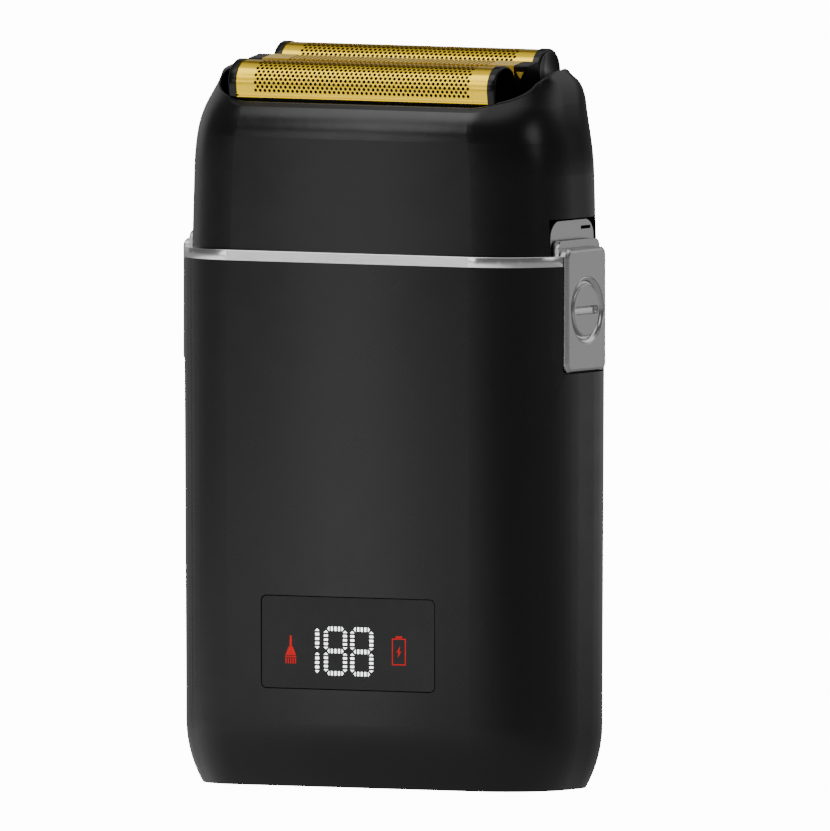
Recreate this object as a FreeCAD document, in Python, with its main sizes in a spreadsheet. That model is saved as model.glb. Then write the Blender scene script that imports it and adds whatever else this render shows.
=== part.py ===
"""Double-foil shaver, in millimetres.

The origin is the centre of the underside, +Z is up, -Y is the display side and +X is the side
with the power slide.  The shaving head leans forward, so its pieces are drawn in the head's own
frame (x, depth, height over the foil centres) and placed with head_place().
"""
import FreeCAD
import Part
import Sketcher
import math
import os
import re
from FreeCAD import Placement, Rotation, Vector

SIZES = {
    # handle
    "body_half_wide": 33.0,
    "body_half_deep": 14.5,
    "body_corner": 12.3,
    "body_tall": 78.5,
    "side_taper": 0.35,
    "base_curve_tall": 9.5,
    "base_inset": 2.5,
    "sleeve_wall": 1.8,
    "floor_tall": 3.0,
    "base_plate_inset": 4.6,
    "base_plate_tall": 1.8,
    "collar_tall": 1.6,
    "collar_wide": 4.2,
    # display
    "display_wide": 29.5,
    "display_tall": 13.7,
    "display_level": 21.7,
    "display_corner": 0.8,
    "display_thick": 1.2,
    "display_gap": 0.15,
    # side plates
    "plate_half_deep": 6.0,
    "plate_bottom": 62.6,
    "plate_top": 81.1,
    "plate_back": 31.6,
    "plate_gap": 0.15,
    "seat_half_deep": 6.3,
    "seat_back": 30.7,
    "seat_top": 82.3,
    "seat_bottom": 62.3,
    "seat_gap": 0.2,
    "plate_bevel": 0.5,
    "screw_level": 71.8,
    "screw_radius": 4.0,
    "screw_recess_radius": 5.0,
    "screw_recess_deep": 0.8,
    "screw_slot_wide": 1.3,
    "screw_slot_deep": 0.6,
    "track_half_deep": 6.6,
    "track_top": 85.2,
    "track_bottom": 60.0,
    "track_front": 30.4,
    "track_thick": 1.0,
    "power_travel": 2.6,
    # head casing
    "cap_half_wide": 31.75,
    "cap_half_deep": 13.25,
    "cap_flat_half": 2.2,
    "cap_wall": 1.8,
    "shoulder_level": 92.0,
    "shoulder_radius": 36.0,
    "shoulder_lean": 0.03,
    "front_roll_level": 97.0,
    "front_roll_radius": 7.6,
    "front_roll_end": 102.4,
    "rear_roll_level": 102.4,
    "rear_roll_radius": 3.55,
    "rear_roll_end": 105.7,
    "casing_form_top": 108.5,
    "arch_radius": 26.3,
    "arch_back": 1.4,
    "arch_rise": 1.4,
    "mouth_half_wide": 27.0,
    "mouth_half_deep": 10.9,
    "mouth_corner": 8.0,
    "cap_hollow_top": 97.0,
    # shaving head
    "head_tilt": 8.4,
    "head_level": 105.9,
    "foil_centre": 6.85,
    "foil_radius": 3.3,
    "foil_wall": 0.3,
    "foil_leg": 2.2,
    "foil_half_long": 21.5,
    "end_cap_long": 1.3,
    "end_cap_radius": 3.45,
    "end_cap_leg": 4.6,
    "rail_foot": 2.9,
    "rail_inner": 3.0,
    "comb_half_deep": 1.65,
    "comb_top": 2.55,
    "comb_wall": 0.4,
    "comb_leg": 0.5,
    "comb_pitch": 0.8,
    "comb_slot_wide": 0.4,
    "comb_block_end": 23.9,
    "frame_top": 6.1,
    "frame_foot": 8.0,
    # drive
    "stroke": 0.9,
    "cutter_radius": 2.75,
    "cutter_half_long": 19.5,
    "cutter_foot": 2.0,
    "cutter_flat": 2.1,
    "cutter_pitch": 1.5,
    "cutter_slot_wide": 0.9,
    "cutter_solid_height": 0.6,
    "carrier_half_deep": 2.0,
    "carrier_foot": 6.6,
    "post_radius": 1.25,
    "post_clearance": 0.08,
    "post_top": 4.2,
    "spring_foot": 10.3,
    "seat_foot_front": 11.4,
    "seat_foot_rear": 13.2,
    "spring_radius": 1.85,
    "spring_wire": 0.22,
    "bridge_bottom": 87.5,
    "bridge_top": 94.3,
    "bridge_half_long": 18.0,
    "rod_radius": 1.2,
    "rod_depth": 7.5,
    "rod_level": 90.0,
    "rod_clearance": 0.06,
    "bracket_inner": 21.0,
    "bracket_outer": 24.5,
    "deck_bottom": 77.5,
    "deck_top": 80.5,
    "deck_inset": 4.4,
    "motor_radius": 9.8,
    "motor_bottom": 53.2,
    "shaft_radius": 1.0,
    "shaft_clearance": 0.05,
    "cam_radius": 4.0,
    "cam_bottom": 83.3,
    "cam_top": 86.3,
    "cam_pin_radius": 1.5,
    "cam_pin_top": 91.5,
    "cam_window_radius": 3.7,
    # inside the handle
    "battery_radius": 7.0,
    "battery_tall": 43.0,
    "battery_bottom": 6.5,
    "socket_radius": 2.75,
    "socket_deep": 9.0,
}

doc = FreeCAD.newDocument("foil_shaver")
sheet = doc.addObject("Spreadsheet::Sheet", "sizes")
for row, (alias, value) in enumerate(SIZES.items(), 1):
    sheet.set(f"A{row}", alias)
    sheet.set(f"B{row}", str(value))
    sheet.setAlias(f"B{row}", alias)
doc.recompute()

ALIAS = re.compile(r"\b(" + "|".join(SIZES) + r")\b")
finished = []


def size(alias):
    return float(getattr(sheet, alias))


def bind(obj, path, text):
    """Bind a property to a formula of sheet aliases."""
    obj.setExpression(path, ALIAS.sub(r"sizes.\1", str(text)))


def value_of(text):
    """What a formula of sheet aliases comes to."""
    numbers = ALIAS.sub(lambda found: repr(size(found.group(1))), str(text))
    return FreeCAD.Units.Quantity(numbers).Value


# ---------------------------------------------------------------- primitives bound to the sheet


def span(obj, path, low, high):
    bind(obj, path, f"({high}) - ({low})")


def box(name, x, y, z, place=None):
    """A block from its (low, high) pair on each axis, in the frame of place where one is given."""
    made = doc.addObject("Part::Box", name)
    for axis, path, pair in zip("xyz", ("Length", "Width", "Height"), (x, y, z)):
        span(made, path, *pair)
        if place is None:
            bind(made, f"Placement.Base.{axis}", pair[0])
    if place is not None:
        corner = Vector(*(value_of(pair[0]) for pair in (x, y, z)))
        made.Placement = place.multiply(Placement(corner, Rotation()))
    return made


TURNS = {
    "x": Rotation(Vector(0, 1, 0), 90),
    "z": Rotation(),
}


def rod(name, radius, start, length, along="z", place=None):
    """A round bar from its start point along +x, +y or +z, in the frame of place where one is given."""
    made = doc.addObject("Part::Cylinder", name)
    made.Placement.Rotation = TURNS[along]
    bind(made, "Radius", radius)
    bind(made, "Height", length)
    if place is None:
        for axis, text in zip("xyz", start):
            bind(made, f"Placement.Base.{axis}", text)
    else:
        foot = Vector(*(value_of(text) for text in start))
        made.Placement = place.multiply(Placement(foot, TURNS[along]))
    return made


def fuse(name, *pieces):
    made = doc.addObject("Part::MultiFuse", name)
    made.Shapes = list(pieces)
    return made


def cut(name, base, *tools):
    made = doc.addObject("Part::Cut", name)
    made.Base = base
    made.Tool = tools[0] if len(tools) == 1 else fuse(f"{name}_tools", *tools)
    return made


def common(name, *pieces):
    made = doc.addObject("Part::MultiCommon", name)
    made.Shapes = list(pieces)
    return made


def group(name, *pieces):
    """Identical loose solids kept in one piece of the assembly."""
    made = doc.addObject("Part::Compound", name)
    made.Links = list(pieces)
    return made


def done(obj, label, place=None):
    """Name a sub-part; its shape is written to parts/label.step."""
    obj.Label = label
    if place is not None:
        obj.Placement = place
    finished.append(obj)
    return obj


# ---------------------------------------------------------------- sketches


def outline_sketch(sketch, half_wide, half_deep, corner):
    """Rounded rectangle about the sketch's origin, fully constrained."""
    wide, deep, round_off = (value_of(text) for text in (half_wide, half_deep, corner))
    inner_x, inner_y = wide - round_off, deep - round_off
    corners = [
        (inner_x, -inner_y, -90), (inner_x, inner_y, 0), (-inner_x, inner_y, 90), (-inner_x, -inner_y, 180)
    ]
    sides = [
        ((-inner_x, -deep), (inner_x, -deep)),
        ((wide, -inner_y), (wide, inner_y)),
        ((inner_x, deep), (-inner_x, deep)),
        ((-wide, inner_y), (-wide, -inner_y)),
    ]
    for (first, last), (x, y, start) in zip(sides, corners):
        sketch.addGeometry(Part.LineSegment(Vector(*first, 0), Vector(*last, 0)), False)
        circle = Part.Circle(Vector(x, y, 0), Vector(0, 0, 1), round_off)
        sketch.addGeometry(Part.ArcOfCircle(circle, math.radians(start), math.radians(start + 90)), False)
    Rule = Sketcher.Constraint
    for edge in range(8):
        sketch.addConstraint(Rule("Tangent", edge, 2, (edge + 1) % 8, 1))
    for edge in (0, 4):
        sketch.addConstraint(Rule("Horizontal", edge))
        sketch.addConstraint(Rule("Vertical", edge + 2))
    for edge in (3, 5, 7):
        sketch.addConstraint(Rule("Equal", 1, edge))
    named = [
        (Rule("Radius", 1, round_off), corner),
        (Rule("DistanceX", -1, 1, 2, 1, wide), half_wide),
        (Rule("DistanceX", 6, 1, -1, 1, wide), half_wide),
        (Rule("DistanceY", -1, 1, 4, 1, deep), half_deep),
        (Rule("DistanceY", 0, 1, -1, 1, deep), half_deep),
    ]
    for rule, text in named:
        index = sketch.addConstraint(rule)
        bind(sketch, f"Constraints[{index}]", text)
    return sketch


def arch_sketch(sketch, radius, leg):
    """Half-round top on straight legs: the arc's centre is the sketch's origin."""
    reach, drop = value_of(radius), value_of(leg)
    points = [Vector(-reach, -drop, 0), Vector(reach, -drop, 0), Vector(reach, 0, 0), Vector(-reach, 0, 0)]
    sketch.addGeometry(Part.LineSegment(points[0], points[1]), False)
    sketch.addGeometry(Part.LineSegment(points[1], points[2]), False)
    arc = Part.ArcOfCircle(Part.Circle(Vector(), Vector(0, 0, 1), reach), 0, math.pi)
    sketch.addGeometry(arc, False)
    sketch.addGeometry(Part.LineSegment(points[3], points[0]), False)
    Rule = Sketcher.Constraint
    sketch.addConstraint(Rule("Coincident", 0, 2, 1, 1))
    sketch.addConstraint(Rule("Tangent", 1, 2, 2, 1))
    sketch.addConstraint(Rule("Tangent", 2, 2, 3, 1))
    sketch.addConstraint(Rule("Coincident", 3, 2, 0, 1))
    sketch.addConstraint(Rule("Horizontal", 0))
    sketch.addConstraint(Rule("Vertical", 1))
    sketch.addConstraint(Rule("Coincident", 2, 3, -1, 1))
    bind(sketch, f"Constraints[{sketch.addConstraint(Rule('Radius', 2, reach))}]", radius)
    bind(sketch, f"Constraints[{sketch.addConstraint(Rule('DistanceY', 0, 1, -1, 1, drop))}]", leg)
    return sketch


def outline_pad(name, half_wide, half_deep, corner, low, high):
    """Upright rounded-rectangle prism from level low to level high."""
    sketch = doc.addObject("Sketcher::SketchObject", f"{name}_outline")
    outline_sketch(sketch, half_wide, half_deep, corner)
    bind(sketch, "Placement.Base.z", low)
    made = doc.addObject("Part::Extrusion", name)
    made.Base = sketch
    made.DirMode = "Normal"
    made.Solid = True
    span(made, "LengthFwd", low, high)
    return made


def arch_bar(name, radius, leg, low, high):
    """Bar of arched section along X, from low to high, in the head's own frame."""
    sketch = doc.addObject("Sketcher::SketchObject", f"{name}_section")
    arch_sketch(sketch, radius, leg)
    sketch.Placement.Rotation = Rotation(Vector(1, 1, 1), 120)
    bind(sketch, "Placement.Base.x", low)
    made = doc.addObject("Part::Extrusion", name)
    made.Base = sketch
    made.DirMode = "Normal"
    made.Solid = True
    span(made, "LengthFwd", low, high)
    return made


def body_plane(body, role):
    return next(plane for plane in body.Origin.OriginFeatures if plane.Role == role)


def body_sketch(body, name, role, offset="0"):
    sketch = body.newObject("Sketcher::SketchObject", name)
    sketch.AttachmentSupport = (body_plane(body, role), [""])
    sketch.MapMode = "FlatFace"
    bind(sketch, "AttachmentOffset.Base.z", offset)
    return sketch


def rectangle_sketch(sketch, x, y):
    """Rectangle from its (low, high) pairs, with its four sides bound to the sheet."""
    (left, right), (bottom, top) = [[value_of(text) for text in pair] for pair in (x, y)]
    points = [
        Vector(left, bottom, 0), Vector(right, bottom, 0), Vector(right, top, 0), Vector(left, top, 0)
    ]
    for first, last in zip(points, points[1:] + points[:1]):
        sketch.addGeometry(Part.LineSegment(first, last), False)
    Rule = Sketcher.Constraint
    for edge in range(4):
        sketch.addConstraint(Rule("Coincident", edge, 2, (edge + 1) % 4, 1))
    for edge in (0, 2):
        sketch.addConstraint(Rule("Horizontal", edge))
        sketch.addConstraint(Rule("Vertical", edge + 1))
    for kind, edge, text in (
        ("DistanceX", 0, x[0]), ("DistanceY", 0, y[0]), ("DistanceX", 2, x[1]), ("DistanceY", 2, y[1])
    ):
        index = sketch.addConstraint(Rule(kind, -1, 1, edge, 1, value_of(text)))
        bind(sketch, f"Constraints[{index}]", text)
    return sketch


def feature(body, kind, name, profile, **lengths):
    made = body.newObject(f"PartDesign::{kind}", name)
    made.Profile = profile
    for path, text in lengths.items():
        bind(made, path, text)
    return made


def slotted_bar(name, section, half_long, slot_x, slot_y, pitch, count):
    """Arched or boxed bar along X with a row of crosswise slots, centred on X = 0."""
    body = doc.addObject("PartDesign::Body", name)
    profile = section(body_sketch(body, f"{name}_section", "YZ_Plane"))
    pad = feature(body, "Pad", f"{name}_bar", profile, Length=f"2 * ({half_long})")
    pad.SideType = "Symmetric"
    doc.recompute()
    whole = body.Shape.Volume
    slot = rectangle_sketch(body_sketch(body, f"{name}_slot", "XZ_Plane"), slot_x, slot_y)
    pocket = feature(body, "Pocket", f"{name}_pocket", slot)
    pocket.Type = "ThroughAll"
    pocket.SideType = "Symmetric"
    row_of_slots = body.newObject("PartDesign::LinearPattern", f"{name}_slots")
    row_of_slots.Originals = [pocket]
    row_of_slots.Direction = (slot, ["H_Axis"])
    row_of_slots.Mode = "Spacing"
    bind(row_of_slots, "Offset", pitch)
    row_of_slots.Occurrences = count
    body.Tip = row_of_slots
    doc.recompute()
    assert body.Shape.Volume < 0.98 * whole, f"{name}: the slots cut nothing"
    return body


# ---------------------------------------------------------------- places


def head_place(depth=0.0):
    """Placement of a piece drawn about the foil centres; depth runs back along the head."""
    turn = Rotation(Vector(1, 0, 0), size("head_tilt"))
    return Placement(Vector(0, 0, size("head_level")) + turn.multVec(Vector(0, depth, 0)), turn)


FOILS = {"front": -1, "rear": 1}
SIDES = {"left": -1, "right": 1}


# ---------------------------------------------------------------- handle


def outline_wire(level, half_wide, front, back, corner):
    """Rounded rectangle at a level; front and back are its reach along -Y and +Y."""
    inner_x = half_wide - corner
    near, far = -front + corner, back - corner
    bow = corner * math.sqrt(0.5)
    stops = [(inner_x, near, 1, -1), (inner_x, far, 1, 1), (-inner_x, far, -1, 1), (-inner_x, near, -1, -1)]
    arcs = []
    for x, y, right, rear in stops:
        across = Vector(x + right * corner, y, level)
        along = Vector(x, y + rear * corner, level)
        first, last = (along, across) if right * rear < 0 else (across, along)
        arcs.append(Part.Arc(first, Vector(x + right * bow, y + rear * bow, level), last).toShape())
    edges = []
    for here, after in zip(arcs, arcs[1:] + arcs[:1]):
        edges += [here, Part.LineSegment(here.Vertexes[-1].Point, after.Vertexes[0].Point).toShape()]
    return Part.Wire(edges)


def handle_section(level):
    """The handle's outline at a level: tapered sides over a foot that curves in."""
    curve_tall, inset = size("base_curve_tall"), size("base_inset")
    curve_radius = (curve_tall**2 + inset**2) / (2 * inset)
    shrink = size("side_taper") * (size("body_tall") - max(level, curve_tall)) / (
        size("body_tall") - curve_tall
    )
    if level < curve_tall:
        shrink += curve_radius - math.sqrt(curve_radius**2 - (curve_tall - level) ** 2)
    deep = size("body_half_deep") - shrink
    return outline_wire(level, size("body_half_wide") - shrink, deep, deep, size("body_corner") - shrink)


def display_block(name, margin, back, thick):
    """Rounded block in the front wall: the display's outline plus a margin, from depth back outward."""
    body = doc.addObject("PartDesign::Body", f"{name}_body")
    outline = body_sketch(body, f"{name}_outline", "XZ_Plane", back)
    bind(outline, "AttachmentOffset.Base.y", "display_level")
    outline_sketch(
        outline,
        f"display_wide / 2 + {margin}",
        f"display_tall / 2 + {margin}",
        f"display_corner + {margin}",
    )
    feature(body, "Pad", f"{name}_pad", outline, Length=thick)
    return body


def make_outer_sleeve():
    foot_steps = 5
    curve_tall = size("base_curve_tall")
    levels = [curve_tall * step / (foot_steps - 1) for step in range(foot_steps)]
    foot = Part.makeLoft([handle_section(level) for level in levels], True, False)
    shaft = Part.makeLoft([handle_section(curve_tall), handle_section(size("body_tall"))], True, True)
    form = doc.addObject("Part::Feature", "sleeve_form")
    form.Shape = foot.fuse(shaft)
    inset = "(side_taper + sleeve_wall)"
    hollow = outline_pad(
        "sleeve_hollow",
        f"body_half_wide - {inset}",
        f"body_half_deep - {inset}",
        f"body_corner - {inset}",
        "floor_tall",
        "body_tall + 1",
    )
    base_opening = outline_pad(
        "base_opening",
        "body_half_wide - base_plate_inset + 0.1",
        "body_half_deep - base_plate_inset + 0.1",
        "body_corner - base_plate_inset + 0.1",
        "-1",
        "floor_tall + 1",
    )
    window = display_block("display_opening", "display_gap", "body_half_deep - 3", "4")
    notches = side_notches("sleeve", "body_tall + 1")
    done(cut("sleeve_cut", form, hollow, base_opening, window, *notches), "outer_sleeve")


def mirrored(sign, low, high):
    """The (low, high) pair of a span given for the right side, on the side of sign."""
    return (low, high) if sign > 0 else (f"-({high})", f"-({low})")


def side_notches(name, top):
    """What both side controls need cut away: a slot for the plate, a wider one for its seat."""
    notches = []
    for side, sign in SIDES.items():
        for part, reach, half, foot in (
            (
                "plate",
                ("plate_back", "body_half_wide + 1"),
                "plate_half_deep + plate_gap",
                "plate_bottom - plate_gap",
            ),
            ("seat", ("28.9", "plate_back + 0.05"), "seat_half_deep + seat_gap", "seat_bottom - seat_gap"),
        ):
            notches.append(
                box(
                    f"{name}_{part}_notch_{side}", mirrored(sign, *reach), (f"-({half})", half), (foot, top)
                )
            )
    track_gap = "track_half_deep + 0.15"
    track_depth = ("track_front - track_thick - 0.1", "track_front + 0.1")
    notches.append(
        box(f"{name}_track_notch", track_depth, (f"-({track_gap})", track_gap), ("track_bottom - 0.2", top))
    )
    return notches


def make_base():
    body = doc.addObject("PartDesign::Body", "base_plate_body")
    outline = body_sketch(body, "base_plate_outline", "XY_Plane")
    inset = "base_plate_inset"
    outline_sketch(
        outline, f"body_half_wide - {inset}", f"body_half_deep - {inset}", f"body_corner - {inset}"
    )
    feature(body, "Pad", "base_plate_pad", outline, Length="base_plate_tall")
    openings = body_sketch(body, "base_plate_openings", "XY_Plane")
    round_hole(openings, "0", "0", "socket_radius + 1.6")
    for sign in ("-", ""):
        round_hole(openings, f"{sign}22", "0", "1.0")
    holes = feature(body, "Pocket", "base_plate_holes", openings)
    holes.Type = "ThroughAll"
    holes.Reversed = True
    doc.recompute()
    bored = body.Shape.Volume
    seats = body_sketch(body, "base_plate_screw_seats", "XY_Plane")
    for sign in ("-", ""):
        round_hole(seats, f"{sign}22", "0", "2.2")
    sunk = feature(body, "Pocket", "base_plate_sunk_seats", seats, Length="1.4")
    sunk.Reversed = True
    doc.recompute()
    assert body.Shape.Volume < bored - 20, "the screw seats cut nothing"
    done(body, "base_plate")

    screws = []
    for side, sign in SIDES.items():
        x = f"{sign * 22}"
        head = rod(f"base_screw_head_{side}", "2.1", (x, "0", "0.2"), "1.2")
        shank = rod(f"base_screw_shank_{side}", "1.0", (x, "0", "1.0"), "5.6")
        slots = [
            box(f"base_screw_slot_{side}", (f"{x} - 1.3", f"{x} + 1.3"), ("-0.25", "0.25"), ("-1", "0.8")),
            box(f"base_screw_cross_{side}", (f"{x} - 0.25", f"{x} + 0.25"), ("-1.3", "1.3"), ("-1", "0.8")),
        ]
        screws.append(cut(f"base_screw_{side}", fuse(f"base_screw_blank_{side}", head, shank), *slots))
    done(group("base_screw_pair", *screws), "base_screws")

    shell = rod("socket_shell", "socket_radius + 1.5", ("0", "0", "0.2"), "socket_deep + 1.2")
    bore = rod("socket_bore", "socket_radius", ("0", "0", "0"), "socket_deep + 0.2")
    done(cut("socket_cut", shell, bore), "charging_socket")


def round_hole(sketch, x, y, radius):
    centre = Vector(value_of(x), value_of(y), 0)
    index = sketch.addGeometry(Part.Circle(centre, Vector(0, 0, 1), value_of(radius)), False)
    for kind, text in (("DistanceX", x), ("DistanceY", y)):
        rule = sketch.addConstraint(Sketcher.Constraint(kind, -1, 1, index, 3, value_of(text)))
        bind(sketch, f"Constraints[{rule}]", text)
    rule = sketch.addConstraint(Sketcher.Constraint("Radius", index, value_of(radius)))
    bind(sketch, f"Constraints[{rule}]", radius)
    return sketch


def make_chassis():
    floor = outline_pad("chassis_floor", "29.5", "11.6", "9.4", "floor_tall + 0.1", "5")
    socket_hole = rod("chassis_socket_hole", "socket_radius + 1.7", ("0", "0", "0"), "6")
    back = box("chassis_back", ("-21.5", "21.5"), ("10", "11.6"), ("4", "deck_bottom - 1"))
    shelf = box("chassis_shelf", ("-26", "26"), ("-8", "10.5"), ("50.6", "52.2"))
    top = outline_pad("chassis_top", "27.5", "11.4", "8.5", "74.5", "deck_bottom")
    motor_hole = rod("chassis_motor_hole", "motor_radius + 0.2", ("0", "0", "74"), "4")
    holes = [
        rod(f"chassis_screw_hole_{index}", "1.0", (x, "0", "1"), "6.2")
        for index, x in enumerate(("-22", "22"))
    ]
    deck_holes = [
        rod(f"chassis_deck_hole_{index}", "0.9", (x, y, "73"), "6")
        for index, (x, y) in enumerate(deck_screw_places())
    ]
    frame = fuse("chassis_blank", floor, back, shelf, top)
    done(cut("chassis_cut", frame, socket_hole, motor_hole, *holes, *deck_holes), "chassis")

    cells = []
    for side, sign in SIDES.items():
        x = f"{sign} * (battery_radius + 0.6)"
        can = rod(
            f"cell_can_{side}",
            "battery_radius",
            (x, "0", "battery_bottom + socket_deep"),
            "battery_tall - 9",
        )
        tip = rod(
            f"cell_tip_{side}", "2.2", (x, "0", "battery_bottom + socket_deep + battery_tall - 9"), "0.8"
        )
        cells.append(fuse(f"cell_{side}", can, tip))
    done(group("cells", *cells), "battery_cells")

    done(box("board", ("-24", "24"), ("7.9", "9.5"), ("8", "49")), "main_board")
    done(box("display_card", ("-17", "17"), ("-11.6", "-10.4"), ("12.5", "31")), "display_board")


def deck_screw_places():
    return [(x, y) for x in ("-26.5", "26.5") for y in ("-4.5", "4.5")]


def make_display_window():
    back = "body_half_deep - side_taper - display_thick + 0.02"
    body = display_block("display_glass", "0", back, "display_thick")
    done(body, "display_window")


def make_collar_and_deck():
    body = doc.addObject("PartDesign::Body", "collar_body")
    outer = body_sketch(body, "collar_outline", "XY_Plane", "body_tall")
    outline_sketch(outer, "body_half_wide", "body_half_deep", "body_corner")
    feature(body, "Pad", "collar_pad", outer, Length="collar_tall")
    inner = body_sketch(body, "collar_opening", "XY_Plane", "body_tall")
    wide = "collar_wide"
    outline_sketch(inner, f"body_half_wide - {wide}", f"body_half_deep - {wide}", f"body_corner - {wide}")
    opening = feature(body, "Pocket", "collar_pocket", inner)
    opening.Type = "ThroughAll"
    opening.Reversed = True
    doc.recompute()
    done(cut("collar_cut", body, *side_notches("collar", "body_tall + 3")), "collar_ring")

    inset = "deck_inset"
    plate = outline_pad(
        "deck_plate",
        f"body_half_wide - {inset}",
        f"body_half_deep - {inset}",
        f"body_corner - {inset}",
        "deck_bottom",
        "deck_top",
    )
    boss = rod("deck_boss", "6", ("0", "0", "deck_top - 0.5"), "2.5")
    bore = rod("deck_bore", "3.5", ("0", "0", "deck_bottom - 1"), "8")
    screw_holes = [
        rod(f"deck_hole_{index}", "1.1", (x, y, "deck_bottom - 1"), "5")
        for index, (x, y) in enumerate(deck_screw_places())
    ]
    done(cut("deck_cut", fuse("deck_blank", plate, boss), bore, *screw_holes), "top_deck")

    screws = []
    for index, (x, y) in enumerate(deck_screw_places()):
        head = rod(f"deck_screw_head_{index}", "1.7", (x, y, "deck_top"), "1.1")
        shank = rod(f"deck_screw_shank_{index}", "0.85", (x, y, "deck_top - 5.5"), "5.6")
        drive = box(
            f"deck_screw_drive_{index}",
            (f"{x} - 1.2", f"{x} + 1.2"),
            (f"{y} - 0.2", f"{y} + 0.2"),
            ("deck_top + 0.6", "deck_top + 2"),
        )
        screws.append(cut(f"deck_screw_{index}", fuse(f"deck_screw_blank_{index}", head, shank), drive))
    done(group("deck_screw_set", *screws), "deck_screws")

    ring = rod("seal_ring", "3.5", ("0", "0", "deck_top"), "2")
    lip = rod("seal_lip", "shaft_radius + shaft_clearance", ("0", "0", "deck_top - 1"), "4")
    done(cut("seal_cut", ring, lip), "shaft_seal")


def make_motor():
    can = rod("motor_shell", "motor_radius", ("0", "0", "motor_bottom"), "deck_bottom - motor_bottom")
    nose = rod("motor_nose", "3.2", ("0", "0", "deck_bottom - 0.5"), "2.3")
    tail = rod("motor_tail", "3.0", ("0", "0", "motor_bottom - 0.9"), "1.5")
    bore = rod("motor_bore", "shaft_radius + shaft_clearance", ("0", "0", "motor_bottom + 1"), "40")
    done(cut("motor_cut", fuse("motor_blank", can, nose, tail), bore), "motor_can")

    done(
        rod("shaft", "shaft_radius", ("0", "0", "motor_bottom + 2"), "cam_top - motor_bottom - 2"),
        "motor_shaft",
    )
    disc = rod("cam_disc", "cam_radius", ("0", "0", "cam_bottom"), "cam_top - cam_bottom")
    pin = rod("cam_pin", "cam_pin_radius", ("stroke", "0", "cam_top - 0.5"), "cam_pin_top - cam_top + 0.5")
    hole = rod("cam_bore", "shaft_radius", ("0", "0", "cam_bottom - 1"), "cam_top - cam_bottom + 1")
    done(cut("cam_cut", fuse("cam_blank", disc, pin), hole), "eccentric_cam")


# ---------------------------------------------------------------- side controls


def plate_blank(side, sign):
    """Plate that follows the handle's side, flat on its back, with bevelled edges."""
    form = outline_pad(
        f"{side}_plate_form", "body_half_wide", "body_half_deep", "body_corner", "plate_bottom", "plate_top"
    )
    reach = mirrored(sign, "plate_back", "body_half_wide + 1")
    strip = box(
        f"{side}_plate_strip", reach, ("-plate_half_deep", "plate_half_deep"), ("plate_bottom", "plate_top")
    )
    plate = common(f"{side}_plate_common", form, strip)
    doc.recompute()
    names = []
    for index, edge in enumerate(plate.Shape.Edges, 1):
        middle = edge.valueAt((edge.FirstParameter + edge.LastParameter) / 2)
        outside = abs(middle.x) > value_of("plate_back") + 0.3
        border = abs(abs(middle.y) - value_of("plate_half_deep")) < 0.01
        ends = min(abs(middle.z - value_of("plate_bottom")), abs(middle.z - value_of("plate_top"))) < 0.01
        if outside and (border or ends):
            names.append((index, value_of("plate_bevel"), value_of("plate_bevel")))
    bevel = doc.addObject("Part::Chamfer", f"{side}_plate_bevel")
    bevel.Base = plate
    bevel.Edges = names
    return bevel


def slotted_screw(side, sign):
    """Large slotted screw head set flush in the plate's round recess."""
    face = "body_half_wide - 0.1"
    floor = "body_half_wide - screw_recess_deep"
    head_start, shank_start = mirrored(sign, floor, face)[0], mirrored(sign, "plate_back - 0.6", floor)[0]
    head = rod(
        f"{side}_screw_head", "screw_radius", (head_start, "0", "screw_level"), f"({face}) - ({floor})", "x"
    )
    shank = rod(
        f"{side}_screw_shank", "1.5", (shank_start, "0", "screw_level"), f"({floor}) - plate_back + 0.6", "x"
    )
    half = "screw_slot_wide / 2"
    slot = box(
        f"{side}_screw_slot",
        mirrored(sign, "body_half_wide - 0.1 - screw_slot_deep", "body_half_wide + 1"),
        ("-screw_radius - 1", "screw_radius + 1"),
        (f"screw_level - {half}", f"screw_level + {half}"),
    )
    return cut(f"{side}_screw_cut", fuse(f"{side}_screw_blank", head, shank), slot)


def seat_plate(side, sign):
    """Flat plate under the visible side plate; its lip shows above the plate's top edge."""
    half = "seat_half_deep"
    reach = mirrored(sign, "seat_back", "plate_back")
    plate = box(f"{side}_seat_plate", reach, (f"-{half}", half), ("seat_bottom", "seat_top"))
    rounded = round_top(f"{side}_seat_rounded", plate, "seat_top", 1.2)
    start = mirrored(sign, "plate_back - 0.6", "plate_back + 1")[0]
    bore = rod(f"{side}_seat_bore", "1.5", (start, "0", "screw_level"), "1.6", "x")
    return rounded, bore


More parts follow.
